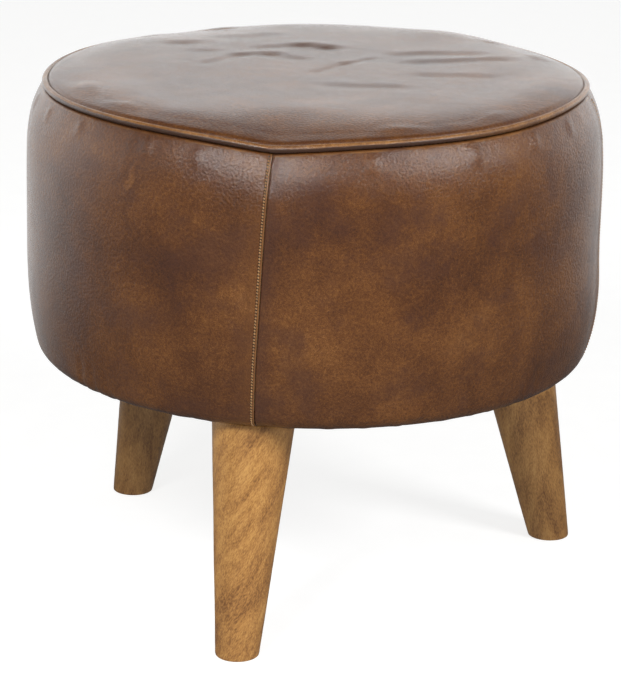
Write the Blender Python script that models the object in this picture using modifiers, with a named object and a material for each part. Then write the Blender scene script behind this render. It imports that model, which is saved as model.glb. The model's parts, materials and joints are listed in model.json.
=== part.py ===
"""Round leather footstool on three splayed wooden legs, as a Blender assembly.

A padded drum of two plywood boards, upright posts and a fibreboard wall is covered in leather: a crowned top
panel, four side panels and a piping round the top edge. Three turned legs screw into angled steel plates
under the base on M8 hanger bolts.

Metres, +Z up, origin on the floor under the middle of the drum. An azimuth is measured from -Y towards +X.
Leg 1 stands at azimuth 0.
"""

import math

import bmesh
import bpy
from mathutils import Matrix, Vector

MM = 0.001
GAP = 0.4 * MM  # left between neighbours that touch in the real object

# Drum outline: the outer face of the side leather.
DRUM_RADIUS = 230.0 * MM
DRUM_BOTTOM = 184.6 * MM
BELLY_LEVEL = 273.8 * MM  # height of the widest point
SHOULDER_TOP = 399.7 * MM  # where the side leather meets the piping
SHOULDER_DROP = 13.3 * MM
SHOULDER_POWER = 6.9
TUCK_DROP = 7.2 * MM  # how far the side leans in above the bottom corner
TUCK_POWER = 2.3
CORNER_RADIUS = 14.7 * MM
CORNER_LEAN = 12.5  # degrees off vertical where the bottom corner starts
CORNER_WRAP = 115.0  # degrees below horizontal where the corner ends, past its lowest point
LEATHER = 1.5 * MM
HEM_INNER_RADIUS = 160.0 * MM

# Top panel and piping.
PIPING_RING = 214.2 * MM
PIPING_LEVEL = 403.2 * MM
PIPING_RADIUS = 2.7 * MM
PIPING_WALL = 0.9 * MM
PIPING_MOUTH = 70.0  # degrees of the piping's section left open
PIPING_FACING = 215.0  # the way that the mouth faces, in degrees from outwards
CORD_SIDES = 6
TOP_RADIUS = 210.8 * MM
TOP_EDGE_LEVEL = 405.3 * MM
CROWN_RISE = 7.9 * MM
CROWN_POWER = 8.0

# Side seams lean a little: this many degrees of azimuth for each metre of height.
SIDE_PANELS = 4
SEAM_AZIMUTH = 4.6
SEAM_LEVEL = 300.0 * MM
SEAM_SLANT = 12.5
SEAM_GAP = 0.5 * MM
THREAD_OFFSET = 2.2 * MM
THREAD_RADIUS = 0.5 * MM

# Padding and frame.
FOAM_INSET = 1.3 * MM
FOAM_ABOVE_CORNER = 2.0 * MM
WADDING_INSET = 5.0 * MM  # the wadding's edge, in from the top panel's
WADDING_EDGE = 2.0 * MM
SEAT_FOAM_TOP = 397.7 * MM
BOARD_RADIUS = 212.3 * MM
BASE_BOTTOM = 188.1 * MM
BASE_THICKNESS = 18.0 * MM
TOP_BOARD_TOP = 373.0 * MM
TOP_BOARD_THICKNESS = 12.0 * MM
WALL_INNER_RADIUS = BOARD_RADIUS + GAP
WALL_THICKNESS = 3.0 * MM
WALL_BOTTOM = 191.0 * MM
POSTS = 6
POST_WIDTH = 40.0 * MM
POST_DEPTH = 28.0 * MM
POST_RING = 186.0 * MM
FIRST_POST_AZIMUTH = 30.0

# Legs: the axis of each runs from the foot circle up and in.
LEGS = 3
FOOT_RING = 215.2 * MM
SPLAY = 12.5
LEG_TOP_LEVEL = 176.8 * MM
LEG_TOP_RADIUS = 31.9 * MM
FOOT_RADIUS = 16.9 * MM
LEG_TOP_ROUND = 1.5 * MM
FOOT_ROUND = 1.2 * MM
BOLT_RADIUS = 4.0 * MM
BOLT_ABOVE_LEG = 22.0 * MM
BOLT_IN_LEG = 44.0 * MM
BOLT_CHAMFER = 1.0 * MM
BOLT_POINT = 3.0 * MM
BOLT_HOLE_RADIUS = 4.6 * MM
BOLT_HOLE_ABOVE_LEG = 35.0 * MM
PLATE_SIDE = 46.0 * MM
PLATE_TOP = 185.0 * MM
PLATE_THICKNESS = 1.7 * MM
PLATE_CORNER = 5.0 * MM
BOSS_RADIUS = 11.0 * MM
PLATE_SCREW_SPACING = 34.0 * MM
DUST_COVER_RADIUS = 172.0 * MM
DUST_COVER_TOP = 185.8 * MM
DUST_COVER_THICKNESS = 0.5 * MM

# Countersunk wood screws: (length, head radius, shank radius).
POST_SCREW = (42.0 * MM, 4.0 * MM, 2.0 * MM)
PLATE_SCREW = (15.0 * MM, 3.6 * MM, 1.8 * MM)
SCREW_CLEARANCE = 0.4 * MM

SCREW_HOLE_LIFT = 1.2 * MM  # how far a screw's hole stands clear of its flat head
SCREW_TIP = 3.0  # length of the point, as a multiple of the shank's radius
HEAD_DOWN = Matrix.Rotation(math.pi, 4, "X")

# Points nearer than this are joined, and a point this near to a cutting plane lies on it.
MERGE_DISTANCE = 0.01 * MM
CUT_DISTANCE = 0.0001 * MM

# Facets round a full turn.
DRUM_STEPS = 48
LEG_STEPS = 32
BOLT_STEPS = 14
BOLT_HOLE_STEPS = 16
SCREW_STEPS = 8
BOSS_STEPS = 20

# Facets along an outline. A bunching above 1 draws the points towards the outline's first or last curve.
SIDE_STEPS = 9
SIDE_BUNCHING = 1.6
CORNER_STEPS = 4
CROWN_STEPS = 6
CROWN_BUNCHING = 1.9
PIPING_STEPS = 7
SIDE_FOAM_STEPS = 5
ROUND_STEPS = 3

COLOURS = {
    "leather": ((0.115, 0.045, 0.022), 0.42, 0.0),
    "piping_leather": ((0.150, 0.062, 0.028), 0.42, 0.0),
    "thread": ((0.480, 0.290, 0.110), 0.80, 0.0),
    "cord": ((0.620, 0.560, 0.450), 0.90, 0.0),
    "wadding": ((0.850, 0.850, 0.830), 0.95, 0.0),
    "foam": ((0.820, 0.760, 0.560), 0.95, 0.0),
    "plywood": ((0.560, 0.400, 0.240), 0.70, 0.0),
    "post_wood": ((0.500, 0.340, 0.190), 0.70, 0.0),
    "fibreboard": ((0.330, 0.210, 0.120), 0.80, 0.0),
    "leg_wood": ((0.430, 0.235, 0.085), 0.45, 0.0),
    "steel": ((0.600, 0.590, 0.570), 0.35, 1.0),
    "dust_cloth": ((0.020, 0.020, 0.022), 0.95, 0.0),
}


# ---------------------------------------------------------------- scene and helpers


def clear_scene():
    for obj in list(bpy.data.objects):
        bpy.data.objects.remove(obj)


def new_collection(name, parent):
    made = bpy.data.collections.new(name)
    parent.children.link(made)
    return made


def material(name):
    found = bpy.data.materials.get(name)
    if found:
        return found
    colour, roughness, metallic = COLOURS[name]
    made = bpy.data.materials.new(name)
    made.use_nodes = True
    shader = made.node_tree.nodes["Principled BSDF"]
    shader.inputs["Base Color"].default_value = (*colour, 1.0)
    shader.inputs["Roughness"].default_value = roughness
    shader.inputs["Metallic"].default_value = metallic
    return made


def place(name, data, look=None, matrix=None, group=None):
    """Links data as a part, or as a cutter where it has no look."""
    obj = bpy.data.objects.new(name, data)
    (group or parts).objects.link(obj)
    if look:
        obj.data.materials.clear()
        obj.data.materials.append(material(look))
    else:
        obj.hide_render = True
        obj.display_type = "WIRE"
    if matrix:
        obj.matrix_world = matrix
    return obj


def mesh_of(bm, name):
    mesh = bpy.data.meshes.new(name)
    bm.to_mesh(mesh)
    bm.free()
    return mesh


def smooth(mesh, angle=35.0):
    mesh.shade_smooth()
    mesh.set_sharp_from_angle(angle=math.radians(angle))


def polar(radius, azimuth, height):
    a = math.radians(azimuth)
    return Vector((radius * math.sin(a), -radius * math.cos(a), height))


def turned_to(azimuth):
    """Carries -Y to this azimuth."""
    return Matrix.Rotation(math.radians(azimuth), 4, "Z")


def arc(centre, radius, start, end, steps):
    """Points on a circle in the (radius, height) plane, at angles in degrees from the outward direction."""
    points = []
    for i in range(steps + 1):
        a = math.radians(start + (end - start) * i / steps)
        points.append((centre[0] + radius * math.cos(a), centre[1] + radius * math.sin(a)))
    return points


def inset(points, distance):
    """An outline that runs down its outer side, moved inwards along its normals."""
    moved = []
    for i, (r, z) in enumerate(points):
        before = Vector(points[max(i - 1, 0)])
        after = Vector(points[min(i + 1, len(points) - 1)])
        along = (after - before).normalized()
        moved.append((r + along.y * distance, z - along.x * distance))
    return moved


def outline_mesh(name, points, closed=False):
    """Edges in the XZ plane through (radius, height) points, for a Screw modifier."""
    edges = [(i, i + 1) for i in range(len(points) - 1)]
    if closed:
        edges.append((len(points) - 1, 0))
    mesh = bpy.data.meshes.new(name)
    mesh.from_pydata([(r, 0.0, z) for r, z in points], edges, [])
    return mesh


def add_turn(obj, steps):
    """Turns the object's outline a full turn round its Z axis."""
    turn = obj.modifiers.new("turn", "SCREW")
    turn.angle = math.tau
    turn.steps = steps
    turn.render_steps = steps
    turn.use_merge_vertices = True
    turn.merge_threshold = MERGE_DISTANCE
    turn.use_smooth_shade = True


def add_cut(obj, cutters):
    """Cuts every solid of a collection from the object."""
    cut = obj.modifiers.new("cut", "BOOLEAN")
    cut.operation = "DIFFERENCE"
    cut.operand_type = "COLLECTION"
    cut.collection = cutters


def disc(name, radius, bottom, top, steps):
    bm = bmesh.new()
    middle = Matrix.Translation((0.0, 0.0, (bottom + top) / 2))
    bmesh.ops.create_cone(
        bm, cap_ends=True, segments=steps, radius1=radius, radius2=radius, depth=top - bottom, matrix=middle
    )
    mesh = mesh_of(bm, name)
    smooth(mesh)
    return mesh


# ---------------------------------------------------------------- drum outline


def side_radius(height):
    """Radius of the side leather's outer face at a height above the bottom corner."""
    if height >= BELLY_LEVEL:
        share = (height - BELLY_LEVEL) / (SHOULDER_TOP - BELLY_LEVEL)
        return DRUM_RADIUS - SHOULDER_DROP * share**SHOULDER_POWER
    share = (BELLY_LEVEL - height) / (BELLY_LEVEL - corner_top())
    return DRUM_RADIUS - TUCK_DROP * share**TUCK_POWER


def corner_top():
    """Height where the bottom corner's arc starts."""
    return DRUM_BOTTOM + CORNER_RADIUS * (1 - math.sin(math.radians(CORNER_LEAN)))


def side_outline(top=SHOULDER_TOP, bottom=None, steps=SIDE_STEPS):
    """The side from its shoulder down, with closer points where the shoulder curves."""
    bottom = corner_top() if bottom is None else bottom
    points = []
    for i in range(steps + 1):
        share = i / steps
        height = top + (bottom - top) * share**SIDE_BUNCHING
        points.append((side_radius(height), height))
    return points


def corner_outline():
    """The bottom corner, from its top round its lowest point to the flat hem."""
    lean = math.radians(CORNER_LEAN)
    centre_radius = side_radius(corner_top()) - CORNER_RADIUS * math.cos(lean)
    centre = (centre_radius, DRUM_BOTTOM + CORNER_RADIUS)
    return arc(centre, CORNER_RADIUS, -CORNER_LEAN, -CORNER_WRAP, CORNER_STEPS)


def crown_height(radius):
    share = min(radius / TOP_RADIUS, 1.0)
    return TOP_EDGE_LEVEL + CROWN_RISE * (1 - share**CROWN_POWER)


def crown_outline(edge_radius):
    """The top panel's outer face from the middle out, with closer points at the edge."""
    points = []
    for i in range(CROWN_STEPS + 1):
        radius = edge_radius * (1 - (1 - i / CROWN_STEPS) ** CROWN_BUNCHING)
        points.append((radius, crown_height(radius)))
    return points


def seam_azimuth(number, height):
    quarter = 360.0 / SIDE_PANELS
    return SEAM_AZIMUTH + number * quarter + SEAM_SLANT * (height - SEAM_LEVEL)


# ---------------------------------------------------------------- cover


def side_panel(number):
    """A quarter of the drum's side with its hem, as an open sheet made thick inwards."""
    outline = side_outline() + corner_outline()[1:]
    outline.append((HEM_INNER_RADIUS, outline[-1][1]))
    quarter = 360.0 / SIDE_PANELS
    edge = math.degrees(SEAM_GAP / 2 / DRUM_RADIUS)
    bm = bmesh.new()
    start = [bm.verts.new(polar(r, edge, z)) for r, z in outline]
    for upper, lower in zip(start, start[1:]):
        bm.edges.new((upper, lower))
    bmesh.ops.spin(
        bm,
        geom=bm.verts[:] + bm.edges[:],
        axis=(0.0, 0.0, 1.0),
        cent=(0.0, 0.0, 0.0),
        angle=math.radians(quarter - 2 * edge),
        steps=DRUM_STEPS // SIDE_PANELS,
    )
    for vert in bm.verts:
        vert.co = turned_to(seam_azimuth(number, vert.co.z)) @ vert.co
    bmesh.ops.recalc_face_normals(bm, faces=bm.faces[:])
    widest = max(bm.faces, key=lambda face: face.calc_center_median().xy.length)
    if widest.normal.xy.dot(widest.calc_center_median().xy) < 0:
        bmesh.ops.reverse_faces(bm, faces=bm.faces[:])
    mesh = mesh_of(bm, f"side_panel_{number + 1}")
    smooth(mesh)
    panel = place(mesh.name, mesh, "leather")
    thicken = panel.modifiers.new("leather", "SOLIDIFY")
    thicken.thickness = LEATHER
    thicken.offset = -1.0
    thicken.use_even_offset = True
    add_cut(panel, leg_holes)


def top_panel():
    outer = crown_outline(TOP_RADIUS)
    inner = [(r, z - LEATHER) for r, z in reversed(outer)]
    add_turn(place("top_panel", outline_mesh("top_panel", outer + inner), "leather"), DRUM_STEPS)


def piping():
    """The leather strip is a ring with a C section, open towards the seam, and the cord lies in it."""
    centre = (PIPING_RING, PIPING_LEVEL)
    start = PIPING_FACING - PIPING_MOUTH / 2
    end = PIPING_FACING - 360.0 + PIPING_MOUTH / 2
    outer = arc(centre, PIPING_RADIUS, start, end, PIPING_STEPS)
    inner = arc(centre, PIPING_RADIUS - PIPING_WALL, end, start, PIPING_STEPS - 2)
    strip = outline_mesh("piping_cover", outer + inner, closed=True)
    add_turn(place("piping_cover", strip, "piping_leather"), DRUM_STEPS)
    cord_radius = PIPING_RADIUS - PIPING_WALL - 1.5 * GAP
    cord = arc(centre, cord_radius, 360.0, 360.0 / CORD_SIDES, CORD_SIDES - 1)
    add_turn(place("piping_cord", outline_mesh("piping_cord", cord, closed=True), "cord"), DRUM_STEPS)


def seam_thread(number):
    """The thread that runs down beside a side seam, standing just off the leather."""
    outline = inset(side_outline(), -(GAP + THREAD_RADIUS))[1:]
    beside = math.degrees(THREAD_OFFSET / DRUM_RADIUS)
    curve = bpy.data.curves.new(f"seam_thread_{number + 1}", "CURVE")
    curve.dimensions = "3D"
    curve.bevel_depth = THREAD_RADIUS
    curve.bevel_resolution = 0
    curve.use_fill_caps = True
    line = curve.splines.new("POLY")
    line.points.add(len(outline) - 1)
    for point, (r, z) in zip(line.points, outline):
        point.co = (*polar(r, seam_azimuth(number, z) - beside, z), 1.0)
    place(curve.name, curve, "thread")


# ---------------------------------------------------------------- padding


def seat_foam():
    bottom = TOP_BOARD_TOP + GAP
    edge = inset(side_outline(), LEATHER + FOAM_INSET)
    edge = [(r, z) for r, z in edge if bottom < z < SEAT_FOAM_TOP]
    top_radius = edge[0][0] - (SEAT_FOAM_TOP - edge[0][1])
    profile = [(0.0, SEAT_FOAM_TOP), (top_radius, SEAT_FOAM_TOP), *edge, (edge[-1][0], bottom), (0.0, bottom)]
    add_turn(place("seat_foam", outline_mesh("seat_foam", profile), "foam"), DRUM_STEPS)


def seat_wadding():
    bottom = SEAT_FOAM_TOP + GAP
    edge_radius = TOP_RADIUS - WADDING_INSET
    top = [(r, z - LEATHER - FOAM_INSET) for r, z in crown_outline(edge_radius)]
    lower_edge = [(edge_radius, bottom + WADDING_EDGE), (edge_radius - WADDING_EDGE, bottom)]
    profile = [*top, *lower_edge, (0.0, bottom)]
    add_turn(place("seat_wadding", outline_mesh("seat_wadding", profile), "wadding"), DRUM_STEPS)


def side_foam():
    inner_radius = WALL_INNER_RADIUS + WALL_THICKNESS + GAP
    outline = side_outline(TOP_BOARD_TOP, corner_top() + FOAM_ABOVE_CORNER, SIDE_FOAM_STEPS)
    outer = inset(outline, LEATHER + FOAM_INSET)
    profile = [*outer, (inner_radius, outer[-1][1]), (inner_radius, outer[0][1])]
    add_turn(place("side_foam", outline_mesh("side_foam", profile, closed=True), "foam"), DRUM_STEPS)


# ---------------------------------------------------------------- frame


def boards():
    top = disc("top_board", BOARD_RADIUS, TOP_BOARD_TOP - TOP_BOARD_THICKNESS, TOP_BOARD_TOP, DRUM_STEPS)
    add_cut(place("top_board", top, "plywood"), post_screw_holes)
    base = disc("base_board", BOARD_RADIUS, BASE_BOTTOM, BASE_BOTTOM + BASE_THICKNESS, DRUM_STEPS)
    base_board = place("base_board", base, "plywood")
    add_cut(base_board, post_screw_holes)
    add_cut(base_board, leg_holes)


def drum_wall():
    outer_radius = WALL_INNER_RADIUS + WALL_THICKNESS
    profile = [
        (WALL_INNER_RADIUS, TOP_BOARD_TOP),
        (outer_radius, TOP_BOARD_TOP),
        (outer_radius, WALL_BOTTOM),
        (WALL_INNER_RADIUS, WALL_BOTTOM),
    ]
    add_turn(place("drum_wall", outline_mesh("drum_wall", profile, closed=True), "fibreboard"), DRUM_STEPS)


def frame_posts():
    bottom = BASE_BOTTOM + BASE_THICKNESS + GAP
    top = TOP_BOARD_TOP - TOP_BOARD_THICKNESS - GAP
    bm = bmesh.new()
    size = Matrix.Diagonal((POST_WIDTH, POST_DEPTH, top - bottom, 1.0))
    bmesh.ops.create_cube(bm, size=1.0, matrix=size)
    mesh = mesh_of(bm, "frame_post")
    for i in range(POSTS):
        azimuth = FIRST_POST_AZIMUTH + i * 360.0 / POSTS
        where = Matrix.Translation(polar(POST_RING, azimuth, (top + bottom) / 2)) @ turned_to(azimuth)
        add_cut(place(f"frame_post_{i + 1}", mesh, "post_wood", where), post_screw_holes)
        upper = Matrix.Translation(polar(POST_RING, azimuth, TOP_BOARD_TOP - GAP))
        lower = Matrix.Translation(polar(POST_RING, azimuth, BASE_BOTTOM + GAP)) @ HEAD_DOWN
        wood_screw(f"post_screw_top_{i + 1}", POST_SCREW, upper, post_screw_holes)
        wood_screw(f"post_screw_base_{i + 1}", POST_SCREW, lower, post_screw_holes)


def wood_screw(name, size, matrix, holes):
    """A countersunk screw that points down its own -Z from its flat head, and the hole that it sits in."""
    length, head, shank = size
    cone = head - shank
    tip = SCREW_TIP * shank
    screw = [(0.0, 0.0), (head, 0.0), (shank, -cone), (shank, tip - length), (0.0, -length)]
    add_turn(place(name, shared_outline(f"screw_{length:.3f}", screw), "steel", matrix), SCREW_STEPS)
    c = SCREW_CLEARANCE
    hole = [(0.0, SCREW_HOLE_LIFT), (head + c, SCREW_HOLE_LIFT), (head + c, -c), (shank + c, -cone - c)]
    hole += [(shank + c, tip - length), (0.0, -length - 2 * c)]
    hole_outline = shared_outline(f"hole_{length:.3f}", hole)
    add_turn(place(f"hole_{name}", hole_outline, None, matrix, holes), SCREW_STEPS)


def shared_outline(name, points):
    return bpy.data.meshes.get(name) or outline_mesh(name, points)


# ---------------------------------------------------------------- legs


def leg_frame(number):
    """The leg's own frame: origin on its axis at its top face, +Z up along the axis."""
    azimuth = number * 360.0 / LEGS
    axis_radius = FOOT_RING - LEG_TOP_LEVEL * math.tan(math.radians(SPLAY))
    lean = Matrix.Rotation(-math.radians(SPLAY), 4, "X")
    return Matrix.Translation(polar(axis_radius, azimuth, LEG_TOP_LEVEL)) @ turned_to(azimuth) @ lean


def leg_mesh():
    """A tapered round leg, bored for its bolt, then sawn off level with the floor."""
    to_floor = LEG_TOP_LEVEL / math.cos(math.radians(SPLAY))
    beyond = FOOT_RADIUS
    taper = (LEG_TOP_RADIUS - FOOT_RADIUS) / to_floor
    round_centre = (LEG_TOP_RADIUS - LEG_TOP_ROUND, -LEG_TOP_ROUND)
    top_round = arc(round_centre, LEG_TOP_ROUND, 90.0, 0.0, ROUND_STEPS)
    profile = [(0.0, -BOLT_IN_LEG - GAP), (BOLT_HOLE_RADIUS, -BOLT_IN_LEG - GAP), (BOLT_HOLE_RADIUS, 0.0)]
    profile += top_round
    profile.append((FOOT_RADIUS - taper * beyond, -to_floor - beyond))
    bm = bmesh.new()
    start = [bm.verts.new((r, 0.0, z)) for r, z in profile]
    for upper, lower in zip(start, start[1:]):
        bm.edges.new((upper, lower))
    bmesh.ops.spin(
        bm,
        geom=bm.verts[:] + bm.edges[:],
        axis=(0.0, 0.0, 1.0),
        cent=(0.0, 0.0, 0.0),
        angle=math.tau,
        steps=LEG_STEPS,
    )
    bmesh.ops.remove_doubles(bm, verts=bm.verts[:], dist=MERGE_DISTANCE)
    to_leg = leg_frame(0).inverted()
    down = to_leg.to_3x3() @ Vector((0.0, 0.0, -1.0))
    bmesh.ops.bisect_plane(
        bm,
        geom=bm.verts[:] + bm.edges[:] + bm.faces[:],
        dist=CUT_DISTANCE,
        plane_co=to_leg @ Vector((0.0, 0.0, 0.0)),
        plane_no=down,
        clear_outer=True,
    )
    rim = [edge for edge in bm.edges if edge.is_boundary]
    bmesh.ops.holes_fill(bm, edges=rim, sides=0)
    bmesh.ops.recalc_face_normals(bm, faces=bm.faces[:])
    bmesh.ops.bevel(bm, geom=rim, offset=FOOT_ROUND, segments=2, profile=0.5, affect="EDGES")
    mesh = mesh_of(bm, "leg")
    smooth(mesh)
    return mesh


def hanger_bolt_outline():
    """A stud, pointed at its wood thread in the leg and chamfered at its machine thread above."""
    return [
        (0.0, BOLT_ABOVE_LEG),
        (BOLT_RADIUS - BOLT_CHAMFER, BOLT_ABOVE_LEG),
        (BOLT_RADIUS, BOLT_ABOVE_LEG - BOLT_CHAMFER),
        (BOLT_RADIUS, BOLT_POINT - BOLT_IN_LEG),
        (0.0, -BOLT_IN_LEG),
    ]


def bolt_hole(number, frame):
    name = f"hole_bolt_{number + 1}"
    hole = disc(name, BOLT_HOLE_RADIUS, -BOLT_IN_LEG, BOLT_HOLE_ABOVE_LEG, BOLT_HOLE_STEPS)
    place(name, hole, None, frame, leg_holes)


def leg_plate(number, frame):
    """A flat flange on the base with a slanted boss that faces the leg's top squarely."""
    centre_height = PLATE_TOP - PLATE_THICKNESS / 2
    centre_radius = FOOT_RING - centre_height * math.tan(math.radians(SPLAY))
    azimuth = number * 360.0 / LEGS
    where = Matrix.Translation(polar(centre_radius, azimuth, centre_height)) @ turned_to(azimuth)
    bm = bmesh.new()
    size = Matrix.Diagonal((PLATE_SIDE, PLATE_SIDE, PLATE_THICKNESS, 1.0))
    bmesh.ops.create_cube(bm, size=1.0, matrix=size)
    upright = [e for e in bm.edges if abs(e.verts[0].co.z - e.verts[1].co.z) > PLATE_THICKNESS / 2]
    bmesh.ops.bevel(
        bm, geom=upright, offset=PLATE_CORNER, segments=ROUND_STEPS, profile=0.5, affect="EDGES"
    )
    flange = mesh_of(bm, f"leg_plate_{number + 1}")
    plate = place(flange.name, flange, "steel", where)
    join = plate.modifiers.new("boss", "BOOLEAN")
    join.operation = "UNION"
    join.object = plate_boss(number, frame, where.translation)
    add_cut(plate, leg_holes)
    plate_screws(number, where)


def plate_boss(number, frame, flange_middle):
    """The boss, trimmed level with the middle of the flange so that none of it stands above it."""
    untrimmed = disc(f"boss_{number + 1}", BOSS_RADIUS, GAP, 2 * BOSS_RADIUS, BOSS_STEPS)
    boss = place(untrimmed.name, untrimmed, None, frame, bosses)
    bm = bmesh.new()
    bm.from_mesh(boss.data)
    to_boss = frame.inverted()
    bmesh.ops.bisect_plane(
        bm,
        geom=bm.verts[:] + bm.edges[:] + bm.faces[:],
        dist=CUT_DISTANCE,
        plane_co=to_boss @ flange_middle,
        plane_no=to_boss.to_3x3() @ Vector((0.0, 0.0, 1.0)),
        clear_outer=True,
    )
    bmesh.ops.holes_fill(bm, edges=[e for e in bm.edges if e.is_boundary], sides=0)
    bm.to_mesh(boss.data)
    bm.free()
    return boss


def plate_screws(number, flange):
    """A screw in each corner of the flange, pointing up into the base with its head flush below."""
    half = PLATE_SCREW_SPACING / 2
    for i, (x, y) in enumerate([(-half, -half), (half, -half), (half, half), (-half, half)]):
        head = Matrix.Translation((x, y, GAP / 2 - PLATE_THICKNESS / 2))
        where = flange @ head @ HEAD_DOWN
        wood_screw(f"plate_screw_{number + 1}_{i + 1}", PLATE_SCREW, where, leg_holes)


def legs():
    mesh = leg_mesh()
    bolt = outline_mesh("hanger_bolt", hanger_bolt_outline())
    for number in range(LEGS):
        frame = leg_frame(number)
        place(f"leg_{number + 1}", mesh, "leg_wood", frame)
        add_turn(place(f"hanger_bolt_{number + 1}", bolt, "steel", frame), BOLT_STEPS)
        bolt_hole(number, frame)
        leg_plate(number, frame)


def dust_cover():
    bottom = DUST_COVER_TOP - DUST_COVER_THICKNESS
    cloth = disc("dust_cover", DUST_COVER_RADIUS, bottom, DUST_COVER_TOP, DRUM_STEPS)
    add_cut(place("dust_cover", cloth, "dust_cloth"), leg_holes)


clear_scene()
scene_root = bpy.context.scene.collection
parts = new_collection("leather_footstool", scene_root)
cutters = new_collection("cutters", scene_root)
cutters.hide_render = True
post_screw_holes = new_collection("post_screw_holes", cutters)
leg_holes = new_collection("leg_holes", cutters)
bosses = new_collection("bosses", cutters)

legs()
frame_posts()
boards()
drum_wall()
side_foam()
seat_foam()
seat_wadding()
dust_cover()
top_panel()
piping()
for seam in range(SIDE_PANELS):
    side_panel(seam)
    seam_thread(seam)
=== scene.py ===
"""The looks of the round leather footstool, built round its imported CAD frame.

The cover is made in two passes. A coarse sheet for the side and one for the top swell like filled cushions
in a cloth simulation. Each leather panel is then a fine closed shell that follows the swollen sheet, with
its seams, creases and gathers worked into the mesh. Everything is in metres, in the frame's own axes.
An azimuth is measured from -Y towards +X.
"""

import json
import math

import bmesh
import bpy
import numpy as np
from mathutils import Matrix, Vector


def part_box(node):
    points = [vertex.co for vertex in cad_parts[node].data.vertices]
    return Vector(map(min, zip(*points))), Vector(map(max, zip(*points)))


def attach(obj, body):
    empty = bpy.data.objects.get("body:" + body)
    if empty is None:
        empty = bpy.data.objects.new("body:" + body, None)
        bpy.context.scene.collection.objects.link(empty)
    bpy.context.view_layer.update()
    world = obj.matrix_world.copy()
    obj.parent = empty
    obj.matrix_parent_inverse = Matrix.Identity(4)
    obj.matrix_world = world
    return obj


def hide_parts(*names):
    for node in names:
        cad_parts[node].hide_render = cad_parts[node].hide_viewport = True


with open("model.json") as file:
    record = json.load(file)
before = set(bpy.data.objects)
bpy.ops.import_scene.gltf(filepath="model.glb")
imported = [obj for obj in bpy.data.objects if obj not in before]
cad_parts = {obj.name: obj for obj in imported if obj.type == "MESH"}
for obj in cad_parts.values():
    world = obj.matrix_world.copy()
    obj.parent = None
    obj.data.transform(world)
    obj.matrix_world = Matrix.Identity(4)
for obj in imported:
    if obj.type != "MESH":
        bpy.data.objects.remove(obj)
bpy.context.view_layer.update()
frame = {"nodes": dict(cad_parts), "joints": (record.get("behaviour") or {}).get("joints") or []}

MM = 0.001


def widest(node):
    """The largest distance of a CAD node's points from the drum's axis."""
    return max(vertex.co.xy.length for vertex in frame["nodes"][node].data.vertices)


# ---------------------------------------------------------------- sizes

# The drum, from the frame.
PANELS = (1, 2, 3, 4)
DRUM_RADIUS = max(widest(f"side_panel_{n}") for n in PANELS)
DRUM_BOTTOM = min(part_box(f"side_panel_{n}")[0].z for n in PANELS)
SHOULDER_TOP = max(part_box(f"side_panel_{n}")[1].z for n in PANELS)
TOP_RADIUS = widest("top_panel")
CROWN_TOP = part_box("top_panel")[1].z
PIPE_RADIUS = (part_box("piping_cover")[1].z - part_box("piping_cover")[0].z) / 2
PIPE_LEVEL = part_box("piping_cover")[0].z + PIPE_RADIUS
PIPE_RING = widest("piping_cover") - PIPE_RADIUS

# The drum's outline, as in the CAD source.
BELLY_LEVEL = 273.8 * MM
SHOULDER_DROP = 13.3 * MM
SHOULDER_POWER = 6.9
TUCK_DROP = 7.2 * MM
TUCK_POWER = 2.3
CORNER_RADIUS = 14.7 * MM
CORNER_LEAN = math.radians(12.5)
CORNER_END = math.radians(115.0)
HEM_INNER = 160.0 * MM
CROWN_RISE = 7.9 * MM
CROWN_POWER = 8.0
LEATHER = 1.5 * MM
TUCK_LENGTH = 4.4 * MM  # down the panel, from its top edge to where it shows below the piping

# Side seams, in degrees of azimuth.
QUARTER = 90.0
SEAM_AZIMUTH = 4.6
SEAM_LEVEL = 300.0 * MM
SEAM_SLANT = 12.5
SEAM_GAP = 0.2 * MM
STITCH_OFFSET = 2.2 * MM
STITCH_PITCH = 2.4 * MM
STITCH_INSET = 0.21  # the share of a stitch's pitch left open at each hole
FIRST_STITCH = 8.0 * MM  # down the panel from its top edge
SEAM_END = 50.0 * MM  # where the stitches stop, up the panel from its inner edge
THREAD_RADIUS = 0.5 * MM
STITCH_SIDES = 8

# The side foam, in degrees of azimuth: where its ends meet, and how far round it reaches.
FOAM_BUTT = 184.6
FOAM_SWEEP = 359.2

# Underside and legs.
LEGS = (1, 2, 3)
POSTS = range(1, 7)
PLATE_SCREWS = range(1, 5)
JOINTS = {joint["name"]: joint for joint in frame["joints"]}
STAPLES = 36
STAPLE_WIRE = 0.33 * MM
STAPLE_SIDES = 6
BOLT_HOLE = 5.0 * MM
LEG_TOP_RADIUS = 31.9 * MM
LEG_TOP_ROUND = 1.5 * MM
FOOT_RADIUS = 16.9 * MM
FOOT_ROUND = 1.2 * MM
BORE_RADIUS = 4.6 * MM
BORE_DEPTH = 44.4 * MM
BOLT_RADIUS = 3.98 * MM
BOLT_ABOVE = 22.0 * MM
BOLT_BELOW = 44.0 * MM

# Swelling.
SHEET_ROWS = 46
SHEET_COLUMNS = 224
TOP_CELLS = 64
SIM_FRAMES = 20
CLOTH = {
    "quality": 6,
    "mass": 0.4,
    "tension_stiffness": 40.0,
    "compression_stiffness": 40.0,
    "shear_stiffness": 20.0,
    "bending_stiffness": 20.0,
    "use_pressure": True,
    "uniform_pressure_force": 4.0,
    "shrink_min": -0.004,
}
SIM_INSET = 2.5 * MM
SWELL_CAP = 5.0 * MM


# ---------------------------------------------------------------- numbers and grids


def smooth_step(low, high, values):
    share = np.clip((values - low) / (high - low), 0.0, 1.0)
    return share * share * (3.0 - 2.0 * share)


def band(values, *ends):
    """1 between the middle two ends and 0 beyond the outer two, eased in between."""
    return smooth_step(ends[0], ends[1], values) * smooth_step(ends[3], ends[2], values)


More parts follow.
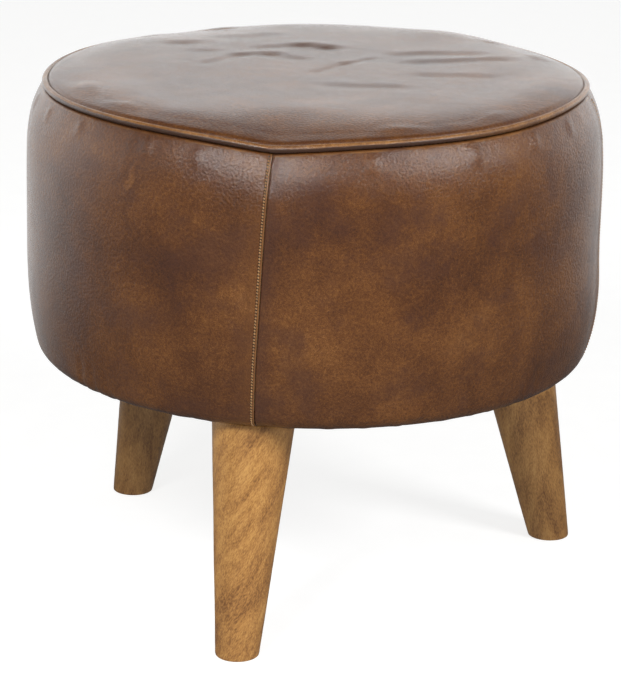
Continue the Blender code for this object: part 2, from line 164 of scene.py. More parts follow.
def bell(values, width):
    return np.exp(-((values / width) ** 2))


def away(azimuth, middle):
    """Degrees round from a middle azimuth, from -180 to 180."""
    return (azimuth - middle + 180.0) % 360.0 - 180.0


def polar(radius, azimuth, height):
    """Points from a radius, an azimuth in degrees and a height, each a number or an array."""
    radius, a, height = np.broadcast_arrays(radius, np.radians(azimuth), height)
    return np.stack([radius * np.sin(a), -radius * np.cos(a), height], axis=-1)


def azimuth_of(x, y):
    return np.degrees(np.arctan2(x, -y))


def lumps(points, size, seed):
    """Smooth random values from -1 to 1, with lumps of about this size."""
    table = np.random.default_rng(seed).uniform(-1.0, 1.0, (32, 32, 32))
    cells = points / size + 500.0
    low = np.floor(cells).astype(int)
    share = cells - low
    share = share * share * (3.0 - 2.0 * share)
    total = np.zeros(points.shape[:-1])
    for corner in np.ndindex(2, 2, 2):
        weight = np.prod(np.where(corner, share, 1.0 - share), axis=-1)
        index = (low + corner) % 32
        total += weight * table[index[..., 0], index[..., 1], index[..., 2]]
    return total


def cubic_weights(count, places, wrap):
    """A matrix that reads a row of values at places between them, along a smooth curve through them."""
    weights = np.zeros((len(places), count))
    low = np.floor(places).astype(int)
    t = places - low
    parts = (
        (-1, -0.5 * t + t**2 - 0.5 * t**3),
        (0, 1.0 - 2.5 * t**2 + 1.5 * t**3),
        (1, 0.5 * t + 2.0 * t**2 - 1.5 * t**3),
        (2, -0.5 * t**2 + 0.5 * t**3),
    )
    for step, part in parts:
        index = (low + step) % count if wrap else np.clip(low + step, 0, count - 1)
        np.add.at(weights, (np.arange(len(places)), index), part)
    return weights


def between(grid, rows, columns, wrap=False):
    """A grid's values at places between its rows and columns."""
    by_row = cubic_weights(grid.shape[0], rows, False)
    by_column = cubic_weights(grid.shape[1], columns, wrap)
    return np.einsum("ir,rck,jc->ijk", by_row, grid, by_column, optimize=True)


def quads(rows, columns, wrap_rows=False, wrap_columns=False):
    r, c = np.meshgrid(
        np.arange(rows - (not wrap_rows)), np.arange(columns - (not wrap_columns)), indexing="ij"
    )
    below = (r + 1) % rows
    beside = (c + 1) % columns
    corners = [r * columns + c, r * columns + beside, below * columns + beside, below * columns + c]
    return np.stack(corners, axis=-1).reshape(-1, 4)


def grid_normals(grid, wrap=False):
    """Unit normals of a grid, to the side that (rows x columns) faces."""
    if wrap:
        along = np.roll(grid, -1, axis=1) - np.roll(grid, 1, axis=1)
    else:
        along = np.gradient(grid, axis=1)
    normals = np.cross(np.gradient(grid, axis=0), along)
    return normals / np.maximum(np.linalg.norm(normals, axis=-1, keepdims=True), 1e-12)


def linked(name, data):
    obj = bpy.data.objects.new(name, data)
    bpy.context.scene.collection.objects.link(obj)
    return obj


def mesh_of(name, bm):
    mesh = bpy.data.meshes.new(name)
    bm.to_mesh(mesh)
    bm.free()
    return mesh


def cut_by(obj, cutters, **settings):
    """The object's mesh with the cutters taken out of it. The cutters are used up."""
    for cutter in cutters:
        cut = obj.modifiers.new("cut", "BOOLEAN")
        cut.object = cutter
        for key, value in settings.items():
            setattr(cut, key, value)
    graph = bpy.context.evaluated_depsgraph_get()
    mesh = bpy.data.meshes.new_from_object(obj.evaluated_get(graph))
    for cutter in cutters:
        bpy.data.objects.remove(cutter)
    return mesh


def new_object(name, points, faces, attributes=None, closed=True, sharp=40.0):
    """An object from arrays, with its faces turned outwards where it is a closed body."""
    mesh = bpy.data.meshes.new(name)
    mesh.from_pydata(points.tolist(), [], [list(face) for face in faces])
    if closed:
        bm = bmesh.new()
        bm.from_mesh(mesh)
        bmesh.ops.recalc_face_normals(bm, faces=bm.faces[:])
        bm.to_mesh(mesh)
        bm.free()
    for key, values in (attributes or {}).items():
        made = mesh.attributes.new(key, "FLOAT", "POINT")
        made.data.foreach_set("value", np.asarray(values, np.float32).ravel())
    mesh.shade_smooth()
    mesh.set_sharp_from_angle(angle=math.radians(sharp))
    return linked(name, mesh)


def closed_body(name, outer, inner, attributes=None):
    """A closed body between two grids of the same size."""
    rows, columns = outer.shape[:2]
    count = rows * columns
    face = quads(rows, columns)
    index = np.arange(count).reshape(rows, columns)
    rim = np.concatenate([index[0, :-1], index[:-1, -1], index[-1, :0:-1], index[:0:-1, 0]])
    after = np.roll(rim, -1)
    edge = np.stack([rim, after, after + count, rim + count], axis=-1)
    faces = np.concatenate([face, face[:, ::-1] + count, edge])
    both = {key: np.tile(values.ravel(), 2) for key, values in (attributes or {}).items()}
    points = np.concatenate([outer.reshape(-1, 3), inner.reshape(-1, 3)])
    return new_object(name, points, faces.tolist(), both)


def shell(name, grid, thickness, attributes=None):
    """A closed sheet: the grid is its outer face, and its inner face lies this far inside."""
    return closed_body(name, grid, grid - grid_normals(grid) * thickness, attributes)


def hoop(name, rows, attributes=None):
    """A closed ring whose rows follow one another round its section."""
    grid = np.stack(rows)
    faces = quads(*grid.shape[:2], wrap_rows=True, wrap_columns=True)
    return new_object(name, grid.reshape(-1, 3), faces.tolist(), attributes, sharp=60.0)


def unit_ring(columns):
    """The turn of each column round a circle, and its point on a unit circle about +Z."""
    turn = np.linspace(0.0, math.tau, columns, endpoint=False)
    return turn, np.stack([np.cos(turn), np.sin(turn), 0.0 * turn], axis=-1)


def tube(points, normals, radius, sides):
    """Rings of points round a path, with the path's own normals at hand."""
    tangent = np.gradient(points, axis=0)
    tangent /= np.linalg.norm(tangent, axis=1, keepdims=True)
    beside = np.cross(tangent, normals)
    beside /= np.linalg.norm(beside, axis=1, keepdims=True)
    above = np.cross(beside, tangent)
    turn = np.linspace(0.0, math.tau, sides, endpoint=False)
    ring = above[:, None] * np.sin(turn)[None, :, None] + beside[:, None] * np.cos(turn)[None, :, None]
    return points[:, None] + ring * np.reshape(radius, (-1, 1, 1))


def tubes(name, all_rings, sharp):
    """Short capped tubes in one object, each from its own rings."""
    points, faces = [], []
    for rings in all_rings:
        count, sides = rings.shape[:2]
        first = len(points) * count * sides
        faces += (quads(count, sides, wrap_columns=True) + first).tolist()
        faces.append([first + c for c in range(sides)][::-1])
        faces.append([first + (count - 1) * sides + c for c in range(sides)])
        points.append(rings.reshape(-1, 3))
    return new_object(name, np.concatenate(points), faces, sharp=sharp)


def turned(name, rows, sharp=40.0, closed=True):
    """A body whose rows are closed rings, with a cap over the first and the last."""
    grid = np.stack(rows)
    count, columns = grid.shape[:2]
    faces = quads(count, columns, wrap_columns=True).tolist()
    points = grid.reshape(-1, 3)
    if closed:
        ends = np.stack([grid[0].mean(axis=0), grid[-1].mean(axis=0)])
        points = np.concatenate([points, ends])
        for c in range(columns):
            beside = (c + 1) % columns
            faces.append([count * columns, beside, c])
            last = (count - 1) * columns
            faces.append([count * columns + 1, last + c, last + beside])
    return new_object(name, points, faces, sharp=sharp)


def put(obj, body, look, slot, *nodes):
    """Gives a piece its material and its body, and hides the CAD nodes that it stands for. The slot is not
    used.
    """
    obj.data.materials.clear()
    obj.data.materials.append(look)
    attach(obj, body)
    if nodes:
        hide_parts(*nodes)
    return obj


# ---------------------------------------------------------------- materials


class Look:
    """One procedural material, or the world's light. Each method adds nodes and returns what comes out."""

    def __init__(self, name, made=None, **values):
        self.made = made or bpy.data.materials.new(name)
        self.made.use_nodes = True
        self.nodes = self.made.node_tree.nodes
        self.shader = self.nodes.get("Principled BSDF")
        self.places = self.add("ShaderNodeTexCoord").outputs
        self.place = self.places["Object"]
        self.set(**values)

    def feed(self, socket, value):
        if isinstance(value, bpy.types.NodeSocket):
            self.made.node_tree.links.new(value, socket)
        elif socket.type == "RGBA":
            socket.default_value = (*value, 1.0)
        else:
            socket.default_value = value

    def add(self, kind, inputs=None, **settings):
        node = self.nodes.new(kind)
        for key, value in settings.items():
            setattr(node, key, value)
        for key, value in (inputs or {}).items():
            self.feed(node.inputs[key], value)
        return node

    def set(self, **values):
        for key, value in values.items():
            self.feed(self.shader.inputs[key.replace("_", " ").title().replace("Ior", "IOR")], value)

    def math(self, operation, *values):
        return self.add("ShaderNodeMath", dict(enumerate(values)), operation=operation).outputs[0]

    def times(self, product, *others):
        for other in others:
            product = self.math("MULTIPLY", product, other)
        return product

    def line(self, value, slope, start):
        return self.math("MULTIPLY_ADD", value, slope, start)

    def total(self, first, *others):
        """The sum of values, each given with its weight."""
        made = self.times(*first)
        for value, weight in others:
            made = self.line(value, weight, made)
        return made

    def apart(self, value, middle):
        return self.math("ABSOLUTE", self.math("SUBTRACT", value, middle))

    def vector(self, operation, first, second, socket=1):
        outputs = self.add("ShaderNodeVectorMath", {0: first, socket: second}, operation=operation).outputs
        return outputs["Value" if operation in ("DISTANCE", "DOT_PRODUCT") else "Vector"]

    def axes(self, at=None):
        return self.add("ShaderNodeSeparateXYZ", {0: at or self.place}).outputs

    def moved(self, shift=(0.0, 0.0, 0.0), scale=(1.0, 1.0, 1.0), turn=(0.0, 0.0, 0.0)):
        """The surface's place, turned, scaled and moved."""
        turned = self.add("ShaderNodeMapping", {"Vector": self.place, "Rotation": turn}).outputs[0]
        return self.add("ShaderNodeMapping", {"Vector": turned, "Location": shift, "Scale": scale}).outputs[0]

    def noise(self, size, detail=3.0, rough=0.5, at=None, warp=0.0):
        inputs = {"Vector": at or self.place, "Scale": 1.0 / size, "Detail": detail}
        inputs.update({"Roughness": rough, "Distortion": warp})
        return self.add("ShaderNodeTexNoise", inputs).outputs[0]

    def cells(self, size, feature="F1", at=None):
        inputs = {"Vector": at or self.place, "Scale": 1.0 / size}
        return self.add("ShaderNodeTexVoronoi", inputs, feature=feature).outputs["Distance"]

    def span(self, value, low, high, to_low=0.0, to_high=1.0):
        """The value's way from low to high, eased, as a value between the last two."""
        inputs = {"Value": value, "From Min": low, "From Max": high, "To Min": to_low, "To Max": to_high}
        return self.add("ShaderNodeMapRange", inputs, interpolation_type="SMOOTHSTEP").outputs[0]

    def mix(self, share, first, second):
        return self.add("ShaderNodeMix", {0: share, 6: first, 7: second}, data_type="RGBA").outputs[2]

    def paint(self, colour, over, *shares):
        """The second colour over the first, as much as all the shares multiplied together."""
        return self.mix(self.times(*shares), colour, over)

    def ramp(self, share, *stops):
        node = self.add("ShaderNodeValToRGB", {"Fac": share})
        while len(node.color_ramp.elements) < len(stops):
            node.color_ramp.elements.new(0.5)
        for element, (place, colour) in zip(node.color_ramp.elements, stops):
            element.position = place
            element.color = (*colour, 1.0)
        return node.outputs["Color"]

    def value_of(self, attribute):
        return self.add("ShaderNodeAttribute", attribute_name=attribute).outputs["Fac"]

    def bump(self, height, distance, strength=1.0, socket="Normal"):
        """Adds a bump over those already there."""
        inputs = {"Height": height, "Distance": distance, "Strength": strength}
        normal = self.shader.inputs[socket]
        if normal.is_linked:
            inputs["Normal"] = normal.links[0].from_socket
        self.feed(normal, self.add("ShaderNodeBump", inputs).outputs[0])


# The next colour is painted shade in the stitch holes.
HIDE_BLACK = (0.014, 0.007, 0.005)
# The next colour is painted shade on the piping's lower half, partly a darker dye.
HIDE_UNDER_SHADE = (0.052, 0.024, 0.0145)
# The next colour is the darkest hide tone, and also painted shade in the seams' gaps.
HIDE_DARK = (0.029, 0.0096, 0.0052)
# The next colour mottles the hide, and is also painted shade beside a seam's plain edge.
HIDE_PLUM = (0.060, 0.0226, 0.0147)
HIDE_BROWN = (0.090, 0.0298, 0.0071)
HIDE_TAN = (0.172, 0.0648, 0.0138)
# The next colour lightens worn spots and the lip, and is a painted highlight along each seam's fold.
HIDE_WORN_AND_HIGHLIGHT = (0.340, 0.165, 0.052)
HIDE_LEVEL = 0.312  # taken off the tone, so that most of the hide comes out brown
PATCH_WOBBLE = 0.055  # how far, in metres, a patch's edge wanders
PATCH_HEART = 0.25  # the share of a patch's radius that is at full strength


def leather_look(name, shift, patches=(), seams=False, shade=0.0, shaded_under=False):
    """Waxed brown hide with a cloudy patina, a fine pebbled grain and lighter worn spots."""
    look = Look(name, specular_ior_level=0.18, coat_weight=0.82, coat_roughness=0.21)
    hide = look.moved(shift)
    grain = look.cells(1.9 * MM, "SMOOTH_F1", hide)
    fine = look.noise(0.6 * MM, 2.0, 0.65, hide)
    tone = look.total(
        (look.noise(80 * MM, 4.0, 0.55, hide, 0.5), 0.40),
        (look.noise(22 * MM, 6.0, 0.62, hide, 0.4), 0.24),
        (look.noise(3.6 * MM, 4.0, 0.65, hide), 0.12),
        (fine, 0.72),
        (grain, 0.20),
    )
    tone = look.math("SUBTRACT", tone, HIDE_LEVEL + shade)
    tone = patchy(look, hide, tone, patches)
    colour = look.ramp(tone, (0.22, HIDE_DARK), (0.47, HIDE_BROWN), (0.68, HIDE_TAN), (0.92, HIDE_WORN_AND_HIGHLIGHT))
    elsewhere = look.moved((shift[0] + 3.0, shift[1], shift[2]))
    plum = look.span(look.noise(46 * MM, 4.0, 0.6, elsewhere), 0.46, 0.66)
    colour = look.paint(colour, HIDE_PLUM, plum, 0.45)
    if seams:
        colour = seam_wear_and_painted_light(look, hide, colour)
    # The piping's lower half is darkened by its 'under' value: painted shade, partly a darker dye.
    if shaded_under:
        colour = look.mix(look.value_of("under"), colour, HIDE_UNDER_SHADE)
    wrinkle = look.noise(7.0 * MM, 5.0, 0.62, look.moved(shift, (1.0, 1.0, 0.55)))
    look.bump(wrinkle, 0.55 * MM, 0.30)
    look.bump(grain, 0.50 * MM, 0.80)
    look.bump(fine, 0.30 * MM, 0.60)
    look.bump(grain, 0.16 * MM, 0.80, "Coat Normal")
    look.bump(fine, 0.28 * MM, 0.80, "Coat Normal")
    rough = look.line(look.noise(30 * MM, 5.0, 0.6, hide), 0.30, 0.30)
    look.set(base_color=colour, roughness=look.line(look.noise(2.0 * MM, 2.0, 0.5, hide), 0.14, rough))
    return look.made


def patchy(look, hide, tone, patches):
    """The tone, raised or lowered in patches whose edges wander."""
    wander = look.add("ShaderNodeTexNoise", {"Vector": hide, "Scale": 32.0, "Detail": 4.0}).outputs["Color"]
    wander = look.vector("SUBTRACT", wander, (0.5, 0.5, 0.5))
    place = look.vector("ADD", look.place, look.vector("SCALE", wander, PATCH_WOBBLE, "Scale"))
    for centre, radius, amount in patches:
        near = look.span(look.vector("DISTANCE", place, centre), radius, PATCH_HEART * radius)
        tone = look.line(near, amount, tone)
    return tone


def seam_wear_and_painted_light(look, hide, colour):
    """Plum painted shade, worn tan, a painted highlight, a paler lip and painted shade in the gap and holes.
    """
    first, last, along = (look.value_of(key) for key in ("first", "last", "along"))
    # Plum painted shade beside the plain edge, broken up by noise.
    soil_and_shade = look.noise(20 * MM, 4.0, 0.6, hide)
    colour = look.paint(colour, HIDE_PLUM, look.span(first, 16 * MM, 2.0 * MM), soil_and_shade, 0.90)
    pale_spots = look.noise(16 * MM, 5.0, 0.65, hide)
    colour = look.paint(colour, HIDE_TAN, look.span(last, 22 * MM, 3.0 * MM), pale_spots, 0.45)
    # A painted highlight along the sewn edge's fold, with some wear.
    worn = look.noise(9 * MM, 4.0, 0.6, hide)
    colour = look.paint(colour, HIDE_WORN_AND_HIGHLIGHT, look.span(last, 3.2 * MM, 0.6 * MM), worn, 0.50)
    # Paler in spots along the lip under the piping.
    on_lip = look.span(look.apart(along, TUCK_LENGTH + 0.6 * MM), 1.1 * MM, 0.3 * MM)
    pale_spots = look.span(look.noise(14 * MM, 4.0, 0.6, hide), 0.40, 0.66, 0.05, 0.36)
    colour = look.paint(colour, HIDE_WORN_AND_HIGHLIGHT, on_lip, pale_spots)
    # Painted shade in the gap where the two edges meet.
    beside = look.math("MINIMUM", first, last)
    colour = look.mix(look.span(beside, 0.25 * MM, 0.05 * MM, 0.0, 0.6), colour, HIDE_DARK)
    # Painted shade in the stitch holes beside the sewn edge.
    on_line = look.span(look.apart(last, STITCH_OFFSET), 1.2 * MM, 0.5 * MM)
    phase = look.math("DIVIDE", look.math("SUBTRACT", along, FIRST_STITCH), STITCH_PITCH)
    hole = look.span(look.math("PINGPONG", phase, 0.5), 0.30, 0.14)
    in_seam = look.math("LESS_THAN", along, SIDE_LENGTH - SEAM_END)
    return look.paint(colour, HIDE_BLACK, on_line, hole, in_seam)


def thread_look(name, light, dark):
    """Waxed thread: fine turns across each stitch, and darker in spots of dirt."""
    look = Look(name, roughness=0.62, sheen_weight=0.25)
    soil_and_shade = look.noise(4.0 * MM, 4.0, 0.7)
    turns = look.noise(0.35 * MM, 2.0, 0.5, look.moved(scale=(1.0, 1.0, 2.0)))
    look.set(base_color=look.ramp(look.line(turns, 0.5, soil_and_shade), (0.55, dark), (0.95, light)))
    look.bump(turns, 0.15 * MM)
    return look.made


def wood_look(name, shift, light, middle, dark, shine=0.42, slant=0.0, size=1.0):
    """Grain up the Z axis: fine flecks, a slanting figure, year rings, short pores and a satin varnish."""
    look = Look(name, coat_weight=0.20, coat_roughness=0.26)

    def stretched(height):
        return look.moved(shift, (1.0, 1.0, height), (0.0, math.radians(-slant), 0.0))

    long = stretched(0.10)
    fleck = look.noise(0.9 * MM * size, 3.0, 0.6, stretched(0.30))
    streak = look.noise(5.0 * MM * size, 4.0, 0.6, long, 0.4)
    broad = look.noise(20 * MM * size, 3.0, 0.5, stretched(0.30), 0.8)
    axes = look.axes(long)
    across = look.math("ADD", look.times(axes[0], 1.6), axes[1])
    rings = look.line(broad, 30 * MM * size, across)
    rings = look.math("SINE", look.times(rings, math.tau / (11 * MM * size)))
    tone = look.total((streak, 0.18), (rings, 0.015), (broad, 0.36), (fleck, 0.48))
    colour = look.ramp(tone, (0.38, dark), (0.52, middle), (0.65, light))
    pore = look.span(look.cells(1.4 * MM * size, at=stretched(0.25)), 0.10, 0.24)
    rare = look.span(look.noise(9 * MM * size, 3.0, 0.6, stretched(0.35)), 0.36, 0.54)
    pore = look.math("MAXIMUM", pore, look.math("SUBTRACT", 1.0, rare))
    look.set(base_color=look.mix(look.line(pore, 0.45, 0.55), dark, colour))
    look.bump(streak, 0.20 * MM, 0.30)
    look.bump(fleck, 0.10 * MM, 0.40)
    look.bump(pore, 0.20 * MM, 0.45)
    look.set(roughness=look.line(streak, 0.22, shine - 0.10))
    return look.made


def plywood_look():
    """Birch plies seen as thin layers on an edge, with long grain on the faces."""
    look = Look("plywood", roughness=0.62)
    ply = look.math("FRACT", look.math("DIVIDE", look.axes()[2], 3.0 * MM))
    layer = look.span(look.apart(ply, 0.5), 0.18, 0.30)
    grain = look.noise(2.5 * MM, 5.0, 0.6, look.moved(scale=(1.0, 0.05, 1.0)), 0.5)
    colour = look.ramp(grain, (0.35, (0.43, 0.29, 0.16)), (0.65, (0.64, 0.48, 0.31)))
    look.set(base_color=look.paint(colour, (0.30, 0.18, 0.09), layer, 0.45))
    look.bump(grain, 0.2 * MM, 0.5)
    return look.made


def fibreboard_look():
    look = Look("fibreboard")
    fibre = look.noise(1.6 * MM, 5.0, 0.7, look.moved(scale=(1.0, 1.0, 0.4)))
    tone = look.total((fibre, 0.5), (look.noise(40 * MM, 3.0), 0.5))
    look.set(base_color=look.ramp(tone, (0.35, (0.20, 0.115, 0.06)), (0.65, (0.34, 0.21, 0.115))))
    look.bump(fibre, 0.15 * MM, 0.6)
    look.set(roughness=look.line(fibre, 0.25, 0.62))
    return look.made


def foam_look():
    """Cut upholstery foam: open cells, and yellow where it has aged."""
    look = Look("cut_foam", roughness=0.95, subsurface_weight=0.15)
    cell = look.cells(1.3 * MM, "SMOOTH_F1")
    aged = look.noise(60 * MM, 4.0)
    colour = look.ramp(aged, (0.35, (0.86, 0.78, 0.52)), (0.65, (0.80, 0.66, 0.36)))
    look.set(base_color=look.mix(look.span(cell, 0.05, 0.45, 0.35, 1.0), (0.50, 0.40, 0.20), colour))
    look.bump(cell, 0.5 * MM, 0.8)
    return look.made


def wadding_look():
    """White polyester fibres, matted in every direction."""
    look = Look("wadding", roughness=0.95, sheen_weight=0.5)
    fibre = look.noise(1.2 * MM, 6.0, 0.75, look.moved(scale=(0.25, 1.0, 1.0)), 2.0)
    tuft = look.noise(14 * MM, 5.0, 0.6, warp=0.8)
    tone = look.total((fibre, 0.4), (tuft, 0.6))
    look.set(base_color=look.ramp(tone, (0.35, (0.66, 0.65, 0.61)), (0.60, (0.88, 0.88, 0.86))))
    look.bump(tuft, 2.0 * MM, 0.5)
    look.bump(fibre, 0.6 * MM, 0.8)
    return look.made


def cord_look():
    """Cotton cord: slanted strands that wind round it."""
    look = Look("cotton_cord", roughness=0.9, sheen_weight=0.3)
    axes = look.axes()
    wind = look.total((look.math("ARCTAN2", axes[0], axes[1]), 420.0), (axes[2], 2200.0))
    strand = look.math("ABSOLUTE", look.math("SINE", wind))
    tone = look.total((strand, 0.5), (look.noise(8 * MM, 4.0), 0.5))
    look.set(base_color=look.ramp(tone, (0.25, (0.40, 0.34, 0.25)), (0.75, (0.74, 0.68, 0.56))))
    look.bump(strand, 0.3 * MM)
    return look.made


def dust_cloth_look():
    """Black spun-bonded cloth: a fine grid of bonding points over matted fibre, with a little pale dust."""
    look = Look("dust_cloth", sheen_weight=0.2)
    bond_spacing = 1.4 * MM
    waves = [look.math("SINE", look.times(axis, math.tau / bond_spacing)) for axis in look.axes()[:2]]
    bond = look.span(look.times(*waves), 0.2, 0.7)
    fibre = look.noise(1.0 * MM, 5.0, 0.7, look.moved(scale=(0.4, 1.0, 1.0)), 1.5)
    dust = look.span(look.noise(26 * MM, 6.0, 0.65), 0.48, 0.72)
    colour = look.mix(fibre, (0.010, 0.010, 0.011), (0.042, 0.041, 0.043))
    look.set(base_color=look.paint(colour, (0.16, 0.145, 0.13), dust, 0.35))
    look.bump(bond, -0.12 * MM, 0.7)
    look.bump(fibre, 0.25 * MM, 0.6)
    look.set(roughness=look.line(bond, -0.2, 0.9))
    return look.made


def steel_look(name, bright, dull, stain, rough):
    """Plated steel: cloudy zinc, fine scratches and a little rust in spots."""
    look = Look(name)
    cloud = look.noise(7 * MM, 4.0, 0.6)
    scratch = look.noise(0.7 * MM, 4.0, 0.7)
    colour = look.ramp(look.total((cloud, 0.65), (scratch, 0.35)), (0.35, dull), (0.65, bright))
    rust = look.span(look.noise(5 * MM, 6.0, 0.7), 0.62, 0.74)
    look.set(base_color=look.paint(colour, stain, rust, 0.7), metallic=look.line(rust, -0.7, 1.0))
    look.bump(scratch, 0.05 * MM, 0.5)
    look.set(roughness=look.line(cloud, 0.25, rough - 0.08))
    return look.made


# ---------------------------------------------------------------- the drum's outline


def side_radius(height):
    above = np.clip((height - BELLY_LEVEL) / (SHOULDER_TOP - BELLY_LEVEL), 0.0, 1.0)
    below = np.clip((BELLY_LEVEL - height) / (BELLY_LEVEL - corner_top()), 0.0, 1.0)
    return DRUM_RADIUS - SHOULDER_DROP * above**SHOULDER_POWER - TUCK_DROP * below**TUCK_POWER


def corner_top():
    return DRUM_BOTTOM + CORNER_RADIUS * (1.0 - math.sin(CORNER_LEAN))


def side_outline():
    """(radius, height) down the side panel: in under the piping, down the side and in under the base."""
    tuck = np.array([(-4.2, 0.0), (-2.6, 0.55), (-1.2, 0.45), (-0.4, 0.2)]) * MM
    tuck += (side_radius(SHOULDER_TOP), SHOULDER_TOP)
    heights = SHOULDER_TOP + (corner_top() - SHOULDER_TOP) * np.linspace(0.0, 1.0, 160) ** 1.5
    side = np.stack([side_radius(heights), heights], axis=-1)
    centre_radius = side_radius(corner_top()) - CORNER_RADIUS * math.cos(CORNER_LEAN)
    turn = -np.linspace(CORNER_LEAN, CORNER_END, 40)
    corner = np.stack([np.cos(turn), np.sin(turn)], axis=-1) * CORNER_RADIUS
    corner += (centre_radius, DRUM_BOTTOM + CORNER_RADIUS)
    hem = [(HEM_INNER, corner[-1, 1])]
    return np.concatenate([tuck, side, corner[1:], hem])


OUTLINE = side_outline()
OUTLINE_LENGTH = np.concatenate([[0.0], np.cumsum(np.linalg.norm(np.diff(OUTLINE, axis=0), axis=1))])
SIDE_LENGTH = OUTLINE_LENGTH[-1]


def outline_at(along):
    """(radius, height) at lengths down the outline."""
    radius = np.interp(along, OUTLINE_LENGTH, OUTLINE[:, 0])
    height = np.interp(along, OUTLINE_LENGTH, OUTLINE[:, 1])
    return radius, height


# Where the rim rises or sinks, left and right and at two corners behind: azimuth, width and rise.
RIM_BUMPS = (
    (-30.0, 28.0, 1.4 * MM),
    (86.0, 27.0, 4.4 * MM),
    (160.0, 10.0, 2.2 * MM),
    (226.0, 18.0, -2.9 * MM),
)
RIM_DIP = -5.7 * MM
RIM_DIP_AZIMUTH = 6.0
RIM_LIFT = 1.0 * MM  # all the way round


def rim_rise(azimuth):
    """How far the piped rim stands above its CAD level: it dips at the front seam and has corners behind."""
    from_seam = away(azimuth, RIM_DIP_AZIMUTH)
    width = np.where(from_seam > 0, 14.0, 12.0)
    rise = RIM_LIFT + RIM_DIP * np.exp(-((np.abs(from_seam) / width) ** 1.35))
    for middle, spread, height in RIM_BUMPS:
        rise = rise + height * bell(away(azimuth, middle), spread)
    return rise


def rim_share(radius):
    """How much of the rim's rise the seat takes at a radius."""
    return smooth_step(TOP_RADIUS - 75 * MM, TOP_RADIUS - 3 * MM, radius)


def crown_height(radius):
    share = np.clip(radius / TOP_RADIUS, 0.0, 1.0)
    return CROWN_TOP - CROWN_RISE * share**CROWN_POWER


# ---------------------------------------------------------------- swelling


def places_of(mesh):
    return np.array([vertex.co for vertex in mesh.vertices])


def swell(name, start, faces, held):
    """How far each point moves as the sheet fills like a cushion. Held, 0 to 1, is how firmly it stays."""
    obj = new_object(name, start.reshape(-1, 3), faces.tolist(), closed=False)
    start_places = places_of(obj.data)
    group = obj.vertex_groups.new(name="held")
    for index, weight in enumerate(held.ravel()):
        group.add([index], float(weight), "REPLACE")
    cloth = obj.modifiers.new("cloth", "CLOTH")
    for key, value in CLOTH.items():
        setattr(cloth.settings, key, value)
    cloth.settings.effector_weights.gravity = 0.0
    cloth.settings.vertex_group_mass = group.name
    cloth.collision_settings.use_collision = False
    cloth.point_cache.frame_start = 1
    cloth.point_cache.frame_end = SIM_FRAMES
    for step in range(1, SIM_FRAMES + 1):
        bpy.context.scene.frame_set(step)
    graph = bpy.context.evaluated_depsgraph_get()
    move = places_of(obj.evaluated_get(graph).to_mesh()) - start_places
    obj.evaluated_get(graph).to_mesh_clear()
    bpy.data.objects.remove(obj)
    bpy.context.scene.frame_set(1)
    length = np.linalg.norm(move, axis=1, keepdims=True)
    return (move * np.minimum(1.0, SWELL_CAP / np.maximum(length, 1e-9))).reshape(start.shape)


def swollen_side():
    """How far each place of the side sheet swells out of its mean outline, as a (rows, columns, 1) grid."""
    along = np.linspace(0.0, SIDE_LENGTH, SHEET_ROWS)
    radius, height = outline_at(along)
    across = np.arange(SHEET_COLUMNS) * 360.0 / SHEET_COLUMNS
    azimuth = SEAM_AZIMUTH + across[None, :] + SEAM_SLANT * (height[:, None] - SEAM_LEVEL)
    grid = polar(radius[:, None], azimuth, height[:, None])
    normals = -grid_normals(grid, wrap=True)
    flat = band(along, TUCK_LENGTH, 30 * MM, SIDE_LENGTH - 80 * MM, SIDE_LENGTH - 45 * MM)
    uneven = 0.5 * MM * lumps(grid, 55 * MM, 3) + 0.12 * MM * lumps(grid, 18 * MM, 4)
    start = grid + normals * ((uneven - SIM_INSET) * flat[:, None])[..., None]
    held = np.zeros((SHEET_ROWS, SHEET_COLUMNS))
    held[along < 2 * TUCK_LENGTH] = 1.0
    held[height < DRUM_BOTTOM + 2.5 * MM] = 1.0
    seam = np.abs((across + QUARTER / 2) % QUARTER - QUARTER / 2)
    held = np.maximum(held, 0.55 * bell(seam, 1.6)[None, :])
    faces = quads(SHEET_ROWS, SHEET_COLUMNS, wrap_columns=True)[:, ::-1]
    move = swell("side_sheet", start, faces, held)
    out = np.sum((start + move - grid) * normals, axis=-1, keepdims=True)
    return out - out.mean(axis=1, keepdims=True)


def disc_grid(steps):
    """Places on a unit disc, from a square grid of steps that run from -1 to 1."""
    x, y = np.meshgrid(steps, steps, indexing="ij")
    return np.stack([x * np.sqrt(1.0 - y * y / 2.0), y * np.sqrt(1.0 - x * x / 2.0)], axis=-1)


def swollen_top():
    """How far each place of the top sheet swells out of its mean crown, as a (cells, cells, 1) grid."""
    disc = disc_grid(np.linspace(-1.0, 1.0, TOP_CELLS + 1))
    radius = np.linalg.norm(disc, axis=-1) * TOP_RADIUS
    level = crown_height(radius)
    grid = np.concatenate([disc * TOP_RADIUS, level[..., None]], axis=-1)
    inside = smooth_step(TOP_RADIUS, TOP_RADIUS - 40 * MM, radius)
    uneven = 0.6 * MM * lumps(grid, 70 * MM, 7) + 0.15 * MM * lumps(grid, 24 * MM, 8)
    start = grid.copy()
    creased = creases(grid[..., 0], grid[..., 1])
    start[..., 2] += (uneven - SIM_INSET) * inside - creased
    held = np.where(radius > TOP_RADIUS - 3 * MM, 1.0, 0.0)
    held = np.maximum(held, 0.4 * smooth_step(0.5 * MM, 2.0 * MM, creased))
    move = swell("top_sheet", start, quads(TOP_CELLS + 1, TOP_CELLS + 1), held)
    out = (start + move - grid)[..., 2]
    out += creased
    zone = 6 * MM
    zones = np.round(radius / zone).astype(int).ravel()
    mean = np.bincount(zones, out.ravel()) / np.maximum(np.bincount(zones), 1)
    return (out - np.interp(radius, np.arange(len(mean)) * zone, mean))[..., None]


# ---------------------------------------------------------------- creases and gathers

